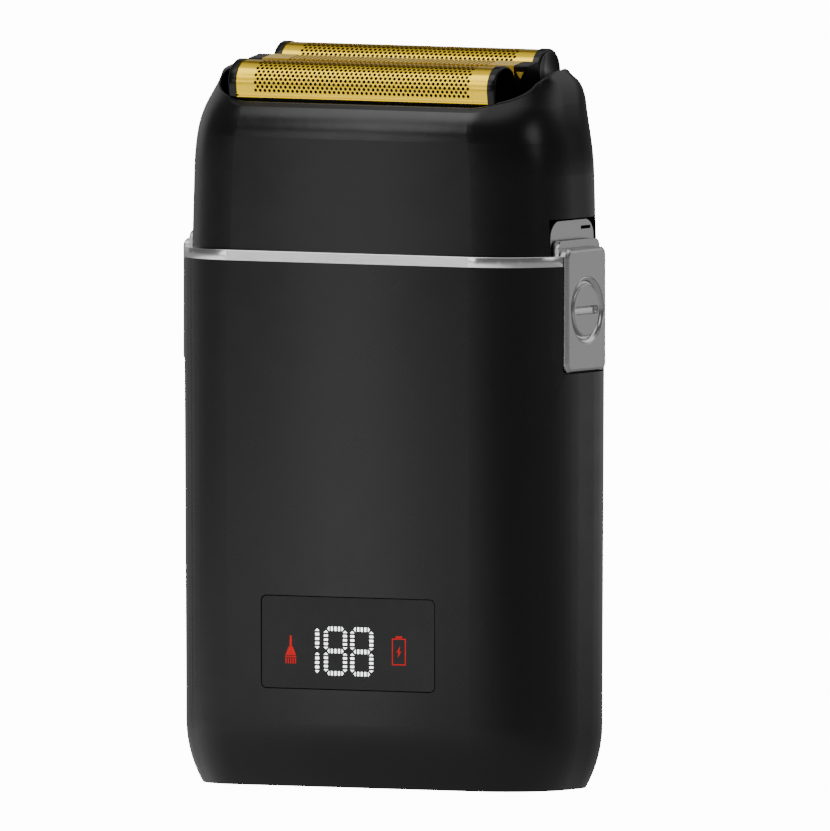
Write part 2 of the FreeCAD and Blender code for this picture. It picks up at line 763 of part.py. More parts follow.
def make_side_controls():
    for side, sign in SIDES.items():
        blank = plate_blank(side, sign)
        floor = "body_half_wide - screw_recess_deep"
        recess_start = mirrored(sign, floor, "body_half_wide + 1")[0]
        recess = rod(
            f"{side}_recess",
            "screw_recess_radius",
            (recess_start, "0", "screw_level"),
            "screw_recess_deep + 1",
            "x",
        )
        hole_start = mirrored(sign, "plate_back - 1", f"{floor} + 0.5")[0]
        hole = rod(
            f"{side}_screw_hole",
            "1.5",
            (hole_start, "0", "screw_level"),
            f"{floor} - plate_back + 1.5",
            "x",
        )
        label = "slide_plate" if sign > 0 else "release_plate"
        done(cut(f"{side}_plate_cut", blank, recess, hole), label)
        done(slotted_screw(side, sign), "slide_screw" if sign > 0 else "release_screw")

    # Track behind the slide; its round-topped tab stands up into the casing's notch.
    half = "track_half_deep"
    depth = ("track_front - track_thick", "track_front")
    plate = box("track_plate", depth, (f"-{half}", half), ("track_bottom", "track_top"))
    track = round_top("track_rounded", plate, "track_top", 2.6)
    slot = box(
        "track_slot",
        ("28", "32"),
        ("-2.3", "2.3"),
        ("screw_level - 2.2", "screw_level + 2.2 + power_travel"),
    )
    catch_hole = box("track_catch", ("28", "32"), ("2.7", "5.6"), ("track_top - 1.45", "track_top - 0.95"))
    done(cut("track_cut", track, slot, catch_hole), "slide_track")

    # Carriage: seat plate, a neck through the track's slot and a flange that hooks behind it.
    seat, seat_bore = seat_plate("right", 1)
    neck = box(
        "carriage_neck",
        ("28.2", "seat_back + 0.2"),
        ("-2", "2"),
        ("screw_level - 1.9", "screw_level + 1.9"),
    )
    flange = box("carriage_flange", ("27.6", "29.1"), ("-4", "4"), ("screw_level - 6", "screw_level + 1.5"))
    done(cut("carriage_cut", fuse("carriage_blank", seat, neck, flange), seat_bore), "slide_carriage")
    done(box("switch_block", ("24.8", "27.2"), ("-4", "4"), ("60", "73")), "slide_switch")

    # The release button's seat carries a stem, which runs through the guide inside its spring.
    seat, seat_bore = seat_plate("left", -1)
    done(cut("release_seat_cut", seat, seat_bore), "release_seat")
    guide = box("guide_block", ("-27.9", "-26.4"), ("-6.4", "6.4"), ("64", "74.5"))
    guide_hole = rod("guide_hole", "1.56", ("-29", "0", "screw_level"), "4", "x")
    done(cut("guide_cut", guide, guide_hole), "button_guide")
    done(rod("stem", "1.5", ("-seat_back", "0", "screw_level"), "5.2", "x"), "release_stem")
    spring = spring_sleeve("release_coil", "2.1", "seat_back - 27.9")
    foot = Vector(-size("seat_back"), 0, size("screw_level"))
    done(spring, "release_spring", Placement(foot, TURNS["x"]))


def round_top(name, plate, top, radius):
    """Round off a side plate's two top corners."""
    doc.recompute()
    names = []
    for index, edge in enumerate(plate.Shape.Edges, 1):
        middle = edge.valueAt((edge.FirstParameter + edge.LastParameter) / 2)
        if edge.BoundBox.XLength > 0.1 and abs(middle.z - value_of(top)) < 0.01:
            names.append((index, radius, radius))
    made = doc.addObject("Part::Fillet", name)
    made.Base = plate
    made.Edges = names
    return made


def spring_sleeve(name, radius, height):
    """The space that a compression spring fills, standing on its end: a tube one wire thick."""
    outer = rod(f"{name}_outer", f"{radius} + spring_wire", ("0", "0", "0"), height)
    inner = rod(f"{name}_inner", f"{radius} - spring_wire", ("0", "0", "-1"), f"{height} + 2")
    return cut(f"{name}_tube", outer, inner)


# ---------------------------------------------------------------- head casing


def roll(level, start, radius, end, slope_end):
    """Inset of a wall that rolls in from level start, then runs on straight after level end."""
    if level <= start:
        return 0.0
    arc_level = min(level, end)
    inset = radius - math.sqrt(radius**2 - (arc_level - start) ** 2)
    return inset + max(level - end, 0.0) * slope_end


def casing_section(level):
    lean = (level - size("body_tall") - size("collar_tall")) * size("shoulder_lean")
    top = size("casing_form_top")
    wide = size("cap_half_wide") - lean - roll(
        level, size("shoulder_level"), size("shoulder_radius"), top, 0.0
    )
    insets = []
    for edge in ("front", "rear"):
        start, radius, end = (size(f"{edge}_roll_{part}") for part in ("level", "radius", "end"))
        rise = end - start
        straight = rise / math.sqrt(radius**2 - rise**2)
        insets.append(roll(level, start, radius, end, straight))
    front, rear = (size("cap_half_deep") - inset for inset in insets)
    corner = (front + rear) / 2 - size("cap_flat_half")
    return outline_wire(level, wide, front, rear, corner)


def make_head_casing():
    bottom = size("body_tall") + size("collar_tall")
    breaks = [size(f"{name}_level") for name in ("shoulder", "front_roll", "rear_roll")]
    breaks += [size("rear_roll_end"), size("casing_form_top")]
    steps = 4
    form = Part.makeLoft([casing_section(bottom), casing_section(breaks[0])], True, True)
    for low, high in zip(breaks, breaks[1:]):
        levels = [low + (high - low) * step / steps for step in range(steps + 1)]
        form = form.fuse(Part.makeLoft([casing_section(level) for level in levels], True, False))
    blank = doc.addObject("Part::Feature", "casing_form")
    blank.Shape = form

    arch = doc.addObject("Part::Cylinder", "casing_arch")
    bind(arch, "Radius", "arch_radius")
    arch.Height = 80
    turn = head_place().Rotation
    centre = head_place().Base + turn.multVec(Vector(0, 0, size("arch_rise") - size("arch_radius")))
    start = centre + Vector(-40, size("arch_back"), 0)
    arch.Placement = Placement(start, Rotation(Vector(0, 1, 0), 90))
    skirt = box("casing_skirt", ("-40", "40"), ("-20", "20"), ("70", "96"))
    arched = common("casing_arched", blank, fuse("casing_envelope", arch, skirt))

    wall = "cap_wall"
    hollow = outline_pad(
        "casing_hollow",
        f"cap_half_wide - {wall}",
        f"cap_half_deep - {wall}",
        f"cap_half_deep - cap_flat_half - {wall}",
        "body_tall",
        "cap_hollow_top",
    )
    mouth = outline_pad("casing_mouth", "mouth_half_wide", "mouth_half_deep", "mouth_corner", "90", "120")
    rear_relief = box("casing_relief", ("-23.5", "23.5"), ("0", "10.8"), ("-8.5", "4"), head_place())
    gap = "track_half_deep + 0.5"
    track_notch = box(
        "casing_track_notch", ("29", "40"), (f"-({gap})", gap), ("body_tall", "track_top + plate_gap + 0.2")
    )
    release_gap = "seat_half_deep + 0.3"
    release_notch = box(
        "casing_release_notch", ("-40", "-29"), (f"-({release_gap})", release_gap), (
            "body_tall", "seat_top + 0.4"
        )
    )
    done(cut("casing_cut", arched, hollow, mouth, rear_relief, track_notch, release_notch), "head_casing")

    # Frame across the mouth: it carries the foil ends and the trimmer.
    outline = outline_pad(
        "frame_outline", "mouth_half_wide", "mouth_half_deep", "mouth_corner", "90", "110"
    )
    slab = box("frame_slab", ("-30", "30"), ("-14", "14"), ("-frame_foot", "-frame_top"), head_place())
    through = ("-frame_foot - 1", "-frame_top + 1")
    windows = [
        box(
            f"frame_window_{edge}",
            ("-21", "21"),
            ("-4.0", "2.6"),
            through,
            head_place(sign * size("foil_centre")),
        )
        for edge, sign in FOILS.items()
    ]
    fork_window = box("frame_window_fork", ("-3.5", "3.5"), ("-1.6", "1.6"), through, head_place())
    done(cut("frame_cut", common("frame_common", outline, slab), *windows, fork_window), "foil_frame")


# ---------------------------------------------------------------- foils, cutters, trimmer


def make_foil_cassette(edge, sign):
    place = head_place(sign * size("foil_centre"))
    ends = ("-foil_half_long", "foil_half_long")
    outer = arch_bar(f"{edge}_foil_outer", "foil_radius", "foil_leg", *ends)
    inner = arch_bar(
        f"{edge}_foil_inner",
        "foil_radius - foil_wall",
        "foil_leg + 1",
        "-foil_half_long - 1",
        "foil_half_long + 1",
    )
    done(cut(f"{edge}_foil_cut", outer, inner), f"{edge}_foil", place)
    for side, way in SIDES.items():
        low, high = "foil_half_long", "foil_half_long + end_cap_long"
        if way < 0:
            low, high = f"-({high})", f"-({low})"
        end = arch_bar(f"{edge}_end_{side}", "end_cap_radius", "end_cap_leg", low, high)
        done(end, f"{edge}_foil_cap_{side}", place)
    block = box(f"{edge}_rail_block", ends, ("-foil_radius", "foil_radius"), ("-rail_foot", "-foil_leg"))
    gap = box(
        f"{edge}_rail_gap",
        ("-21", "21"),
        ("-rail_inner", "rail_inner"),
        ("-rail_foot - 1", "-foil_leg + 1"),
    )
    done(cut(f"{edge}_rail_cut", block, gap), f"{edge}_foil_rails", place)


def make_cutter(edge, sign):
    place = head_place(sign * size("foil_centre"))
    count = 25
    first = f"-{(count - 1) // 2} * cutter_pitch"
    cutter = slotted_bar(
        f"{edge}_cutter_body",
        lambda sketch: arch_sketch(sketch, "cutter_radius", "cutter_foot"),
        "cutter_half_long",
        (f"{first} - cutter_slot_wide / 2", f"{first} + cutter_slot_wide / 2"),
        ("-cutter_solid_height", "cutter_radius + 1"),
        "cutter_pitch",
        count,
    )
    flat = "cutter_flat"
    flats = box(
        f"{edge}_cutter_flats",
        ("-cutter_half_long - 1", "cutter_half_long + 1"),
        (f"-{flat}", flat),
        ("-cutter_foot", "cutter_radius + 1"),
    )
    done(common(f"{edge}_cutter_common", cutter, flats), f"{edge}_cutter", place)
    half = "carrier_half_deep"
    block = box(
        f"{edge}_carrier_block",
        ("-cutter_half_long", "cutter_half_long"),
        (f"-{half}", half),
        ("-carrier_foot", "-cutter_foot"),
    )
    post_hole = rod(
        f"{edge}_carrier_hole",
        "post_radius + post_clearance",
        ("0", "0", "-carrier_foot - 1"),
        "carrier_foot - 2",
    )
    done(cut(f"{edge}_carrier_cut", block, post_hole), f"{edge}_cutter_carrier", place)
    spring = spring_sleeve(f"{edge}_coil", "spring_radius", "spring_foot - carrier_foot")
    foot = place.multiply(Placement(Vector(0, 0, -size("spring_foot")), Rotation()))
    done(spring, f"{edge}_cutter_spring", foot)


def make_trimmer():
    half = "comb_half_deep"
    count = 43
    first = f"-{(count - 1) // 2} * comb_pitch"

    def comb_section(sketch):
        return rectangle_sketch(sketch, (f"-{half}", half), ("-comb_leg", "comb_top"))

    comb = slotted_bar(
        "comb_bar",
        comb_section,
        "foil_half_long",
        (f"{first} - comb_slot_wide / 2", f"{first} + comb_slot_wide / 2"),
        ("comb_top - 0.9", "comb_top + 1"),
        "comb_pitch",
        count,
    )
    wall = "comb_wall"
    channel = box(
        "comb_channel",
        ("-foil_half_long - 1", "foil_half_long + 1"),
        (f"-{half} + {wall}", f"{half} - {wall}"),
        ("-comb_leg - 1", f"comb_top - {wall}"),
    )
    done(cut("comb_cut", comb, channel), "trimmer_comb", head_place())

    blade = slotted_bar(
        "blade_bar",
        lambda sketch: rectangle_sketch(sketch, ("-1.1", "1.1"), ("1.3", "1.95")),
        "foil_half_long - 1.6",
        (
            f"{first} + comb_pitch / 2 - comb_slot_wide / 2",
            f"{first} + comb_pitch / 2 + comb_slot_wide / 2",
        ),
        ("1.6", "3"),
        "comb_pitch",
        count - 1,
    )
    notch = box("blade_notch", ("-1.15", "1.15"), ("0.15", "2"), ("0", "1.58"))
    done(cut("blade_cut", blade, notch), "trimmer_blade", head_place())

    ends = ("-foil_half_long", "foil_half_long")
    block = box("holder_block", ends, (f"-{half}", half), ("-frame_top", "-comb_leg"))
    gap = box("holder_gap", ("-21", "21"), ("-1.25", "1.25"), ("-frame_top - 1", "0"))
    done(cut("holder_cut", block, gap), "trimmer_holder", head_place())

    blocks = []
    clips = []
    for side, way in SIDES.items():
        low, high = "foil_half_long", "comb_block_end"
        if way < 0:
            low, high = f"-{high}", f"-{low}"
        blocks.append(box(f"end_block_{side}", (low, high), ("-1.75", "1.75"), ("-frame_top", "comb_top")))
        tip = [Vector(way * 22.1, -2.0, 1.6), Vector(way * 23.3, -2.0, 1.6), Vector(way * 22.7, -2.0, 0.6)]
        face = Part.Face(Part.makePolygon(tip + tip[:1]))
        clip = doc.addObject("Part::Feature", f"clip_{side}")
        clip.Shape = face.extrude(Vector(0, 0.25, 0))
        clips.append(clip)
    done(group("end_blocks", *blocks), "trimmer_end_blocks", head_place())
    done(group("clip_pair", *clips), "trimmer_clips", head_place())


# ---------------------------------------------------------------- drive


def make_drive():
    brackets = []
    rods = []
    for side, sign in SIDES.items():
        reach = ("bracket_inner", "bracket_outer") if sign > 0 else ("-bracket_outer", "-bracket_inner")
        block = box(f"bracket_block_{side}", reach, ("-9.5", "9.5"), ("deck_top", "rod_level + 2.2"))
        waist = box(f"bracket_waist_{side}", ("-30", "30"), ("-5", "5"), ("rod_level - 3", "rod_level + 4"))
        holes = [
            rod(
                f"bracket_hole_{side}_{edge}",
                "rod_radius",
                ("-30", f"{way} * rod_depth", "rod_level"),
                "60",
                "x",
            )
            for edge, way in FOILS.items()
        ]
        brackets.append(cut(f"bracket_{side}", block, waist, *holes))
    for edge, way in FOILS.items():
        start = ("-bracket_outer", f"{way} * rod_depth", "rod_level")
        rods.append(rod(f"guide_rod_{edge}", "rod_radius", start, "2 * bracket_outer", "x"))
    done(group("bracket_pair", *brackets), "rod_brackets")
    done(group("rod_pair", *rods), "guide_rods")

    half = "bridge_half_long"
    block = box("bridge_block", (f"-{half}", half), ("-9.3", "10.2"), ("bridge_bottom", "bridge_top"))
    seats, posts, post_sockets = [], [], []
    for edge, sign in FOILS.items():
        place = head_place(sign * size("foil_centre"))
        foot = f"seat_foot_{edge}"
        seat_rise = f"{foot} - spring_foot"
        seats.append(rod(f"spring_seat_{edge}", "2.2", ("0", "0", f"-{foot}"), seat_rise, place=place))
        post_foot = ("0", "0", f"-{foot} - 0.6")
        posts.append(rod(f"post_{edge}", "post_radius", post_foot, f"{foot} + 0.6 - post_top", place=place))
        post_sockets.append(rod(f"post_socket_{edge}", "post_radius", post_foot, "20", place=place))
    window = rod("bridge_window", "cam_window_radius", ("0", "0", "bridge_bottom - 1"), "5.7")
    rod_holes = [
        rod(
            f"bridge_hole_{edge}",
            "rod_radius + rod_clearance",
            ("-30", f"{way} * rod_depth", "rod_level"),
            "60",
            "x",
        )
        for edge, way in FOILS.items()
    ]
    blank = fuse("bridge_blank", block, *seats)
    done(cut("bridge_cut", blank, window, *rod_holes, *post_sockets), "drive_bridge")
    done(group("post_pair", *posts), "cutter_posts")

    fork = box("fork_bar", ("-1", "1"), ("0.3", "1"), ("-12.2", "1.48"), head_place())
    floor = box("fork_floor", ("-3", "3"), ("-3", "3"), ("80", "bridge_top"))
    done(cut("fork_cut", fork, floor), "trimmer_fork")


# ---------------------------------------------------------------- build and write

make_outer_sleeve()
make_base()
make_chassis()
make_display_window()
make_collar_and_deck()
make_motor()
make_side_controls()
make_head_casing()
for edge_name, edge_sign in FOILS.items():
    make_foil_cassette(edge_name, edge_sign)
    make_cutter(edge_name, edge_sign)
make_trimmer()
make_drive()
doc.recompute()

for obj in doc.Objects:
    failed = {"Invalid", "Error"} & set(obj.State)
    assert not failed, f"{obj.Name} is {failed}"

os.makedirs("parts", exist_ok=True)
for obj in finished:
    shape = obj.Shape
    assert not shape.isNull() and shape.isValid() and shape.Solids, f"{obj.Label} has no valid solid"
    shape.exportStep(os.path.join("parts", f"{obj.Label}.step"))
    print(f"{obj.Label:26s} {len(shape.Solids)} solid(s) {shape.Volume:10.2f} mm3")
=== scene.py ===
"""Looks of the foil shaver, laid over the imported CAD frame.

Lengths are millimetres until they become meshes, apart from those that a comment gives in metres.
x runs along the width, y points to the back and z points up.
"""
import math

import bmesh
import bpy
from mathutils import Matrix, Vector
from mathutils.bvhtree import BVHTree


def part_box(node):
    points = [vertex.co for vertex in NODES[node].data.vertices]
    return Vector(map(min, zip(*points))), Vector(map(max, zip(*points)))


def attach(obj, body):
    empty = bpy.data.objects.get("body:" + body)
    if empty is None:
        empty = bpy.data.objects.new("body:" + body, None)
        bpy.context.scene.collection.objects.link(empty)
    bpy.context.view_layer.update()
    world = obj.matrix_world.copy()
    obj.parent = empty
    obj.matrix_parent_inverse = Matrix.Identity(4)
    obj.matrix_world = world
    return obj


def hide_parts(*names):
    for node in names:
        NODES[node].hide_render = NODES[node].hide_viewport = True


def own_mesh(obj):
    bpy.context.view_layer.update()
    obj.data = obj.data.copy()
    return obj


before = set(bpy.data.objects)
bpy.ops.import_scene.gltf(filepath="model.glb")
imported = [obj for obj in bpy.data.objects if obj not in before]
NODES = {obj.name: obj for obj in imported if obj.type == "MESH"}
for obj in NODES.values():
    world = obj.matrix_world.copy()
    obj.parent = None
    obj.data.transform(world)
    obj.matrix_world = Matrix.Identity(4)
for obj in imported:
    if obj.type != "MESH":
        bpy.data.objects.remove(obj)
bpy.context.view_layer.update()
MM = 0.001


# ---------------------------------------------------------------- node helpers

# Noise rarely leaves this range, so tones and roughness are spread over it.
NOISE_LOW = 0.3
NOISE_HIGH = 0.7


def new_material(name):
    """A material with its node tree and its shader."""
    material = bpy.data.materials.new(name)
    material.use_nodes = True
    tree = material.node_tree
    shader = tree.nodes["Principled BSDF"]
    return material, tree, shader


def add(tree, kind, settings=None, **inputs):
    """A new node; settings are its properties and the keywords set or link its inputs."""
    node = tree.nodes.new(kind)
    for key, value in (settings or {}).items():
        setattr(node, key, value)
    for key, value in inputs.items():
        connect(tree, node.inputs[key.replace("_", " ")], value)
    return node


def connect(tree, socket, value):
    """Links an output to an input, or sets the input to a value."""
    if isinstance(value, bpy.types.NodeSocket):
        tree.links.new(value, socket)
    else:
        socket.default_value = value


def place_of(tree, stretch=(1, 1, 1)):
    """Object coordinates, scaled per axis."""
    coords = add(tree, "ShaderNodeTexCoord")
    mapping = add(tree, "ShaderNodeMapping", Vector=coords.outputs["Object"], Scale=stretch)
    return mapping.outputs["Vector"]


def noise(tree, scale, detail=3.0, stretch=(1, 1, 1), roughness=0.5):
    """Cloudy pattern with this many features per metre."""
    node = add(
        tree,
        "ShaderNodeTexNoise",
        Vector=place_of(tree, stretch),
        Scale=scale,
        Detail=detail,
        Roughness=roughness,
    )
    return node.outputs["Fac"]


def spread(tree, value, low, high, start=NOISE_LOW, end=NOISE_HIGH, ramp="LINEAR"):
    """value between start and end, turned into a number between low and high."""
    node = add(tree, "ShaderNodeMapRange", {"interpolation_type": ramp}, Value=value)
    node.inputs["From Min"].default_value = start
    node.inputs["From Max"].default_value = end
    node.inputs["To Min"].default_value = low
    node.inputs["To Max"].default_value = high
    return node.outputs["Result"]


def two_tone(tree, value, low, high):
    """A colour between low and high, driven by a noise value."""
    ramp = add(tree, "ShaderNodeValToRGB", Fac=value)
    stops = ramp.color_ramp.elements
    stops[0].position, stops[1].position = NOISE_LOW, NOISE_HIGH
    stops[0].color, stops[1].color = (*low, 1), (*high, 1)
    return ramp.outputs["Color"]


def bump(tree, height, depth, under=None):
    """A normal from a height, where 1 is depth metres; under is a normal that it adds to."""
    node = add(tree, "ShaderNodeBump", Height=height, Distance=depth)
    if under is not None:
        connect(tree, node.inputs["Normal"], under)
    return node.outputs["Normal"]


def math_node(tree, operation, first, second):
    """Result of an operation on two numbers, each a value or a socket."""
    node = add(tree, "ShaderNodeMath", {"operation": operation})
    connect(tree, node.inputs[0], first)
    connect(tree, node.inputs[1], second)
    return node.outputs["Value"]


def vector_node(tree, operation, first, second):
    """Number that an operation makes of two vectors, each a value or a socket."""
    node = add(tree, "ShaderNodeVectorMath", {"operation": operation})
    connect(tree, node.inputs[0], first)
    connect(tree, node.inputs[1], second)
    return node.outputs["Value"]


def mix_shaders(tree, share, first, second):
    """The first shader where share is 0 and the second where it is 1."""
    node = add(tree, "ShaderNodeMixShader", Fac=share)
    connect(tree, node.inputs[1], first)
    connect(tree, node.inputs[2], second)
    return node.outputs["Shader"]


# ---------------------------------------------------------------- materials


def crown(tree, curvature):
    """Height, in metres, of a broad face that swells gently towards the middle of its width."""
    coords = add(tree, "ShaderNodeTexCoord")
    split = add(tree, "ShaderNodeSeparateXYZ", Vector=coords.outputs["Object"])
    square = math_node(tree, "MULTIPLY", split.outputs["X"], split.outputs["X"])
    return math_node(tree, "MULTIPLY", square, -curvature / 2)


def painted(name, dark, light, rough, grain_scale, grain_depth, coat=0.0, swell=0.0, mirror=0.5):
    """Moulded or coated surface: cloudy tone, fine grain, roughness that drifts a little."""
    material, tree, shader = new_material(name)
    cloud = noise(tree, scale=90, detail=4)
    drift = noise(tree, scale=260)
    connect(tree, shader.inputs["Base Color"], two_tone(tree, cloud, dark, light))
    connect(tree, shader.inputs["Roughness"], spread(tree, drift, *rough))
    broad = bump(tree, crown(tree, swell), depth=1.0) if swell else None
    grain = bump(tree, noise(tree, grain_scale, detail=2), grain_depth, broad)
    connect(tree, shader.inputs["Normal"], grain)
    shader.inputs["Specular IOR Level"].default_value = mirror
    shader.inputs["Coat Weight"].default_value = coat
    shader.inputs["Coat Roughness"].default_value = 0.2
    return material


def brushed(name, dark, light, rough, stretch, line_scale, depth):
    """Bare metal with fine lines; stretch is small along the direction that the lines run."""
    material, tree, shader = new_material(name)
    lines = noise(tree, line_scale, detail=4, stretch=stretch, roughness=0.7)
    connect(tree, shader.inputs["Base Color"], two_tone(tree, lines, dark, light))
    connect(tree, shader.inputs["Roughness"], spread(tree, lines, *rough))
    connect(tree, shader.inputs["Normal"], bump(tree, lines, depth))
    shader.inputs["Metallic"].default_value = 1.0
    return material


DIMMEST = 0.86


def glowing(name, colour, strength):
    """Lit display segment, a little uneven from point to point like real LEDs."""
    material, tree, shader = new_material(name)
    shader.inputs["Base Color"].default_value = (0.02, 0.02, 0.02, 1)
    shader.inputs["Roughness"].default_value = 0.3
    shader.inputs["Specular IOR Level"].default_value = 0.1
    uneven = noise(tree, scale=900, detail=1)
    dim = tuple(DIMMEST * part for part in colour)
    connect(tree, shader.inputs["Emission Color"], two_tone(tree, uneven, dim, colour))
    shader.inputs["Emission Strength"].default_value = strength
    return material


def display_glass(name):
    """Dark smoked window, nearly smooth."""
    material, tree, shader = new_material(name)
    smoke = noise(tree, scale=60, detail=2)
    haze = noise(tree, scale=500)
    tint = two_tone(tree, smoke, (0.006, 0.006, 0.007), (0.010, 0.010, 0.011))
    connect(tree, shader.inputs["Base Color"], tint)
    connect(tree, shader.inputs["Roughness"], spread(tree, haze, 0.10, 0.16))
    shader.inputs["IOR"].default_value = 1.5
    shader.inputs["Specular IOR Level"].default_value = 0.3
    return material


def board(name):
    """Green circuit board with lighter tracks."""
    material, tree, shader = new_material(name)
    tracks = add(tree, "ShaderNodeTexBrick", Vector=place_of(tree), Scale=140.0)
    tracks.inputs["Color1"].default_value = (0.010, 0.060, 0.022, 1)
    tracks.inputs["Color2"].default_value = (0.014, 0.080, 0.030, 1)
    tracks.inputs["Mortar"].default_value = (0.05, 0.20, 0.08, 1)
    connect(tree, shader.inputs["Base Color"], tracks.outputs["Color"])
    connect(tree, shader.inputs["Roughness"], spread(tree, noise(tree, scale=700), 0.3, 0.5))
    return material


def slot_of(material):
    """Name of a material without the number that Blender adds to a name in use."""
    return material.name.split(".")[0]


def make_materials():
    """Every finish, by the name of the material slot that it stands for."""
    made = [
        painted(
            "satin_black_metal", (0.0030, 0.0030, 0.0031), (0.0042, 0.0042, 0.0043),
            rough=(0.24, 0.28), grain_scale=5200, grain_depth=1.2e-6, swell=8.5,
        ),
        painted(
            "satin_black_casing", (0.0030, 0.0030, 0.0031), (0.0042, 0.0042, 0.0043),
            rough=(0.22, 0.26), grain_scale=4600, grain_depth=1.2e-6, swell=5.5,
        ),
        painted(
            "black_plastic", (0.004, 0.004, 0.004), (0.006, 0.006, 0.006),
            rough=(0.32, 0.40), grain_scale=3800, grain_depth=4e-6, mirror=0.25,
        ),
        painted(
            "gloss_black_plastic", (0.002, 0.002, 0.002), (0.003, 0.003, 0.003),
            rough=(0.16, 0.22), grain_scale=3000, grain_depth=1e-6, mirror=0.3,
        ),
        painted(
            "grey_plastic", (0.10, 0.10, 0.105), (0.14, 0.14, 0.145),
            rough=(0.45, 0.55), grain_scale=3600, grain_depth=8e-6,
        ),
        painted(
            "bright_gold", (0.80, 0.55, 0.06), (0.90, 0.64, 0.10),
            rough=(0.25, 0.32), grain_scale=3000, grain_depth=1e-6,
        ),
        painted(
            "battery_wrap", (0.05, 0.10, 0.26), (0.07, 0.13, 0.32),
            rough=(0.30, 0.40), grain_scale=1200, grain_depth=6e-6, coat=0.2,
        ),
        painted(
            "seal_rubber", (0.012, 0.012, 0.012), (0.018, 0.018, 0.018),
            rough=(0.6, 0.7), grain_scale=2500, grain_depth=1e-5,
        ),
        brushed(
            "brushed_silver", (0.50, 0.50, 0.51), (0.60, 0.60, 0.61),
            rough=(0.26, 0.34), stretch=(0.06, 0.06, 1), line_scale=9000, depth=0.7e-6,
        ),
        brushed(
            "collar_silver", (0.88, 0.88, 0.89), (0.94, 0.94, 0.95),
            rough=(0.16, 0.22), stretch=(0.04, 0.04, 1), line_scale=9000, depth=0.6e-6,
        ),
        brushed(
            "screw_chrome", (0.62, 0.62, 0.63), (0.72, 0.72, 0.73),
            rough=(0.12, 0.20), stretch=(1, 1, 1), line_scale=2600, depth=1.0e-6,
        ),
        brushed(
            "steel", (0.46, 0.46, 0.47), (0.58, 0.58, 0.59),
            rough=(0.28, 0.38), stretch=(1, 1, 0.06), line_scale=6000, depth=2e-6,
        ),
        brushed(
            "spring_steel", (0.38, 0.38, 0.40), (0.52, 0.52, 0.54),
            rough=(0.22, 0.32), stretch=(1, 1, 1), line_scale=5000, depth=1e-6,
        ),
        # Cutter steel coloured near black: painted shade that stands for the dark inside of the head under
        # the foils.
        brushed(
            "blade_steel", (0.05, 0.048, 0.045), (0.08, 0.077, 0.072),
            rough=(0.34, 0.42), stretch=(1, 0.08, 1), line_scale=8000, depth=1.5e-6,
        ),
        brushed(
            "gold", (0.84, 0.55, 0.012), (0.96, 0.66, 0.03),
            rough=(0.17, 0.24), stretch=(0.10, 1, 1), line_scale=7000, depth=1.0e-6,
        ),
        display_glass("dark_window"),
        board("circuit_board"),
    ]
    return {slot_of(material): material for material in made}


MATERIALS = make_materials()
# Nodes that look unlike the slot that the record gives them.
SPECIAL_FINISH = {
    "collar_ring": "collar_silver",
    "trimmer_clips": "bright_gold",
    "trimmer_comb": "bright_gold",
}


def finish_nodes():
    """Every CAD node takes its special finish, or else that of the slot in the record."""
    for name, node in NODES.items():
        finish = SPECIAL_FINISH.get(name) or slot_of(node.data.materials[0])
        node.material_slots[0].link = "OBJECT"
        node.material_slots[0].material = MATERIALS[finish]


# How far the hard edges of these nodes are rounded.
SOFT_EDGES = {
    "slide_carriage": 0.15,
    "release_seat": 0.15,
    "slide_track": 0.15,
    "trimmer_end_blocks": 0.2,
    "trimmer_comb": 0.05,
    "collar_ring": 0.15,
    "display_window": 0.1,
}
WELD_REACH = 0.002
ROUNDING_STEPS = 3
ROUNDED_FROM_DEGREES = 40


def soften_edges(name, width):
    """A small rounding on a CAD node's hard edges."""
    node = NODES[name]
    weld = node.modifiers.new("join_faces", "WELD")
    weld.merge_threshold = WELD_REACH * MM
    bevel = node.modifiers.new("round_edges", "BEVEL")
    bevel.width = width * MM
    bevel.segments = ROUNDING_STEPS
    bevel.limit_method = "ANGLE"
    bevel.angle_limit = math.radians(ROUNDED_FROM_DEGREES)
    bevel.harden_normals = True
    bevel.use_clamp_overlap = True


# ---------------------------------------------------------------- mesh helpers


def piece(name, skin, body, slot, material=None, smooth=True):
    """A piece that rides on a CAD body; skin is its vertices, in mm, and its faces."""
    verts, faces = skin
    mesh = bpy.data.meshes.new(name)
    mesh.from_pydata([Vector(vert) * MM for vert in verts], [], faces)
    mesh.validate()
    shell = bmesh.new()
    shell.from_mesh(mesh)
    bmesh.ops.recalc_face_normals(shell, faces=shell.faces)
    shell.to_mesh(mesh)
    shell.free()
    mesh.materials.append(material or MATERIALS[slot])
    for face in mesh.polygons:
        face.use_smooth = smooth
    obj = bpy.data.objects.new(name, mesh)
    bpy.context.scene.collection.objects.link(obj)
    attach(obj, body)
    return obj


def sharpen(obj, degrees):
    """Edges steeper than this many degrees stay crisp."""
    edges = bmesh.new()
    edges.from_mesh(obj.data)
    for edge in edges.edges:
        edge.smooth = len(edge.link_faces) == 2 and edge.calc_face_angle() < math.radians(degrees)
    edges.to_mesh(obj.data)
    edges.free()


def thicken(obj, wall):
    """Gives an open skin a wall, inwards, in mm."""
    solidify = obj.modifiers.new("wall", "SOLIDIFY")
    solidify.thickness = wall * MM
    solidify.offset = -1
    graph = bpy.context.evaluated_depsgraph_get()
    obj.data = bpy.data.meshes.new_from_object(obj.evaluated_get(graph))
    obj.modifiers.clear()


def loft(rings):
    """Vertices and faces of a closed skin through rings of equal length, capped at both ends."""
    count = len(rings[0])
    verts = [point for ring in rings for point in ring]
    faces = []
    for level in range(len(rings) - 1):
        for step in range(count):
            after = (step + 1) % count
            low, high = level * count, (level + 1) * count
            faces.append((low + step, low + after, high + after, high + step))
    faces.append(tuple(range(count)))
    faces.append(tuple(range((len(rings) - 1) * count, len(rings) * count)))
    return verts, faces


# ---------------------------------------------------------------- head frame

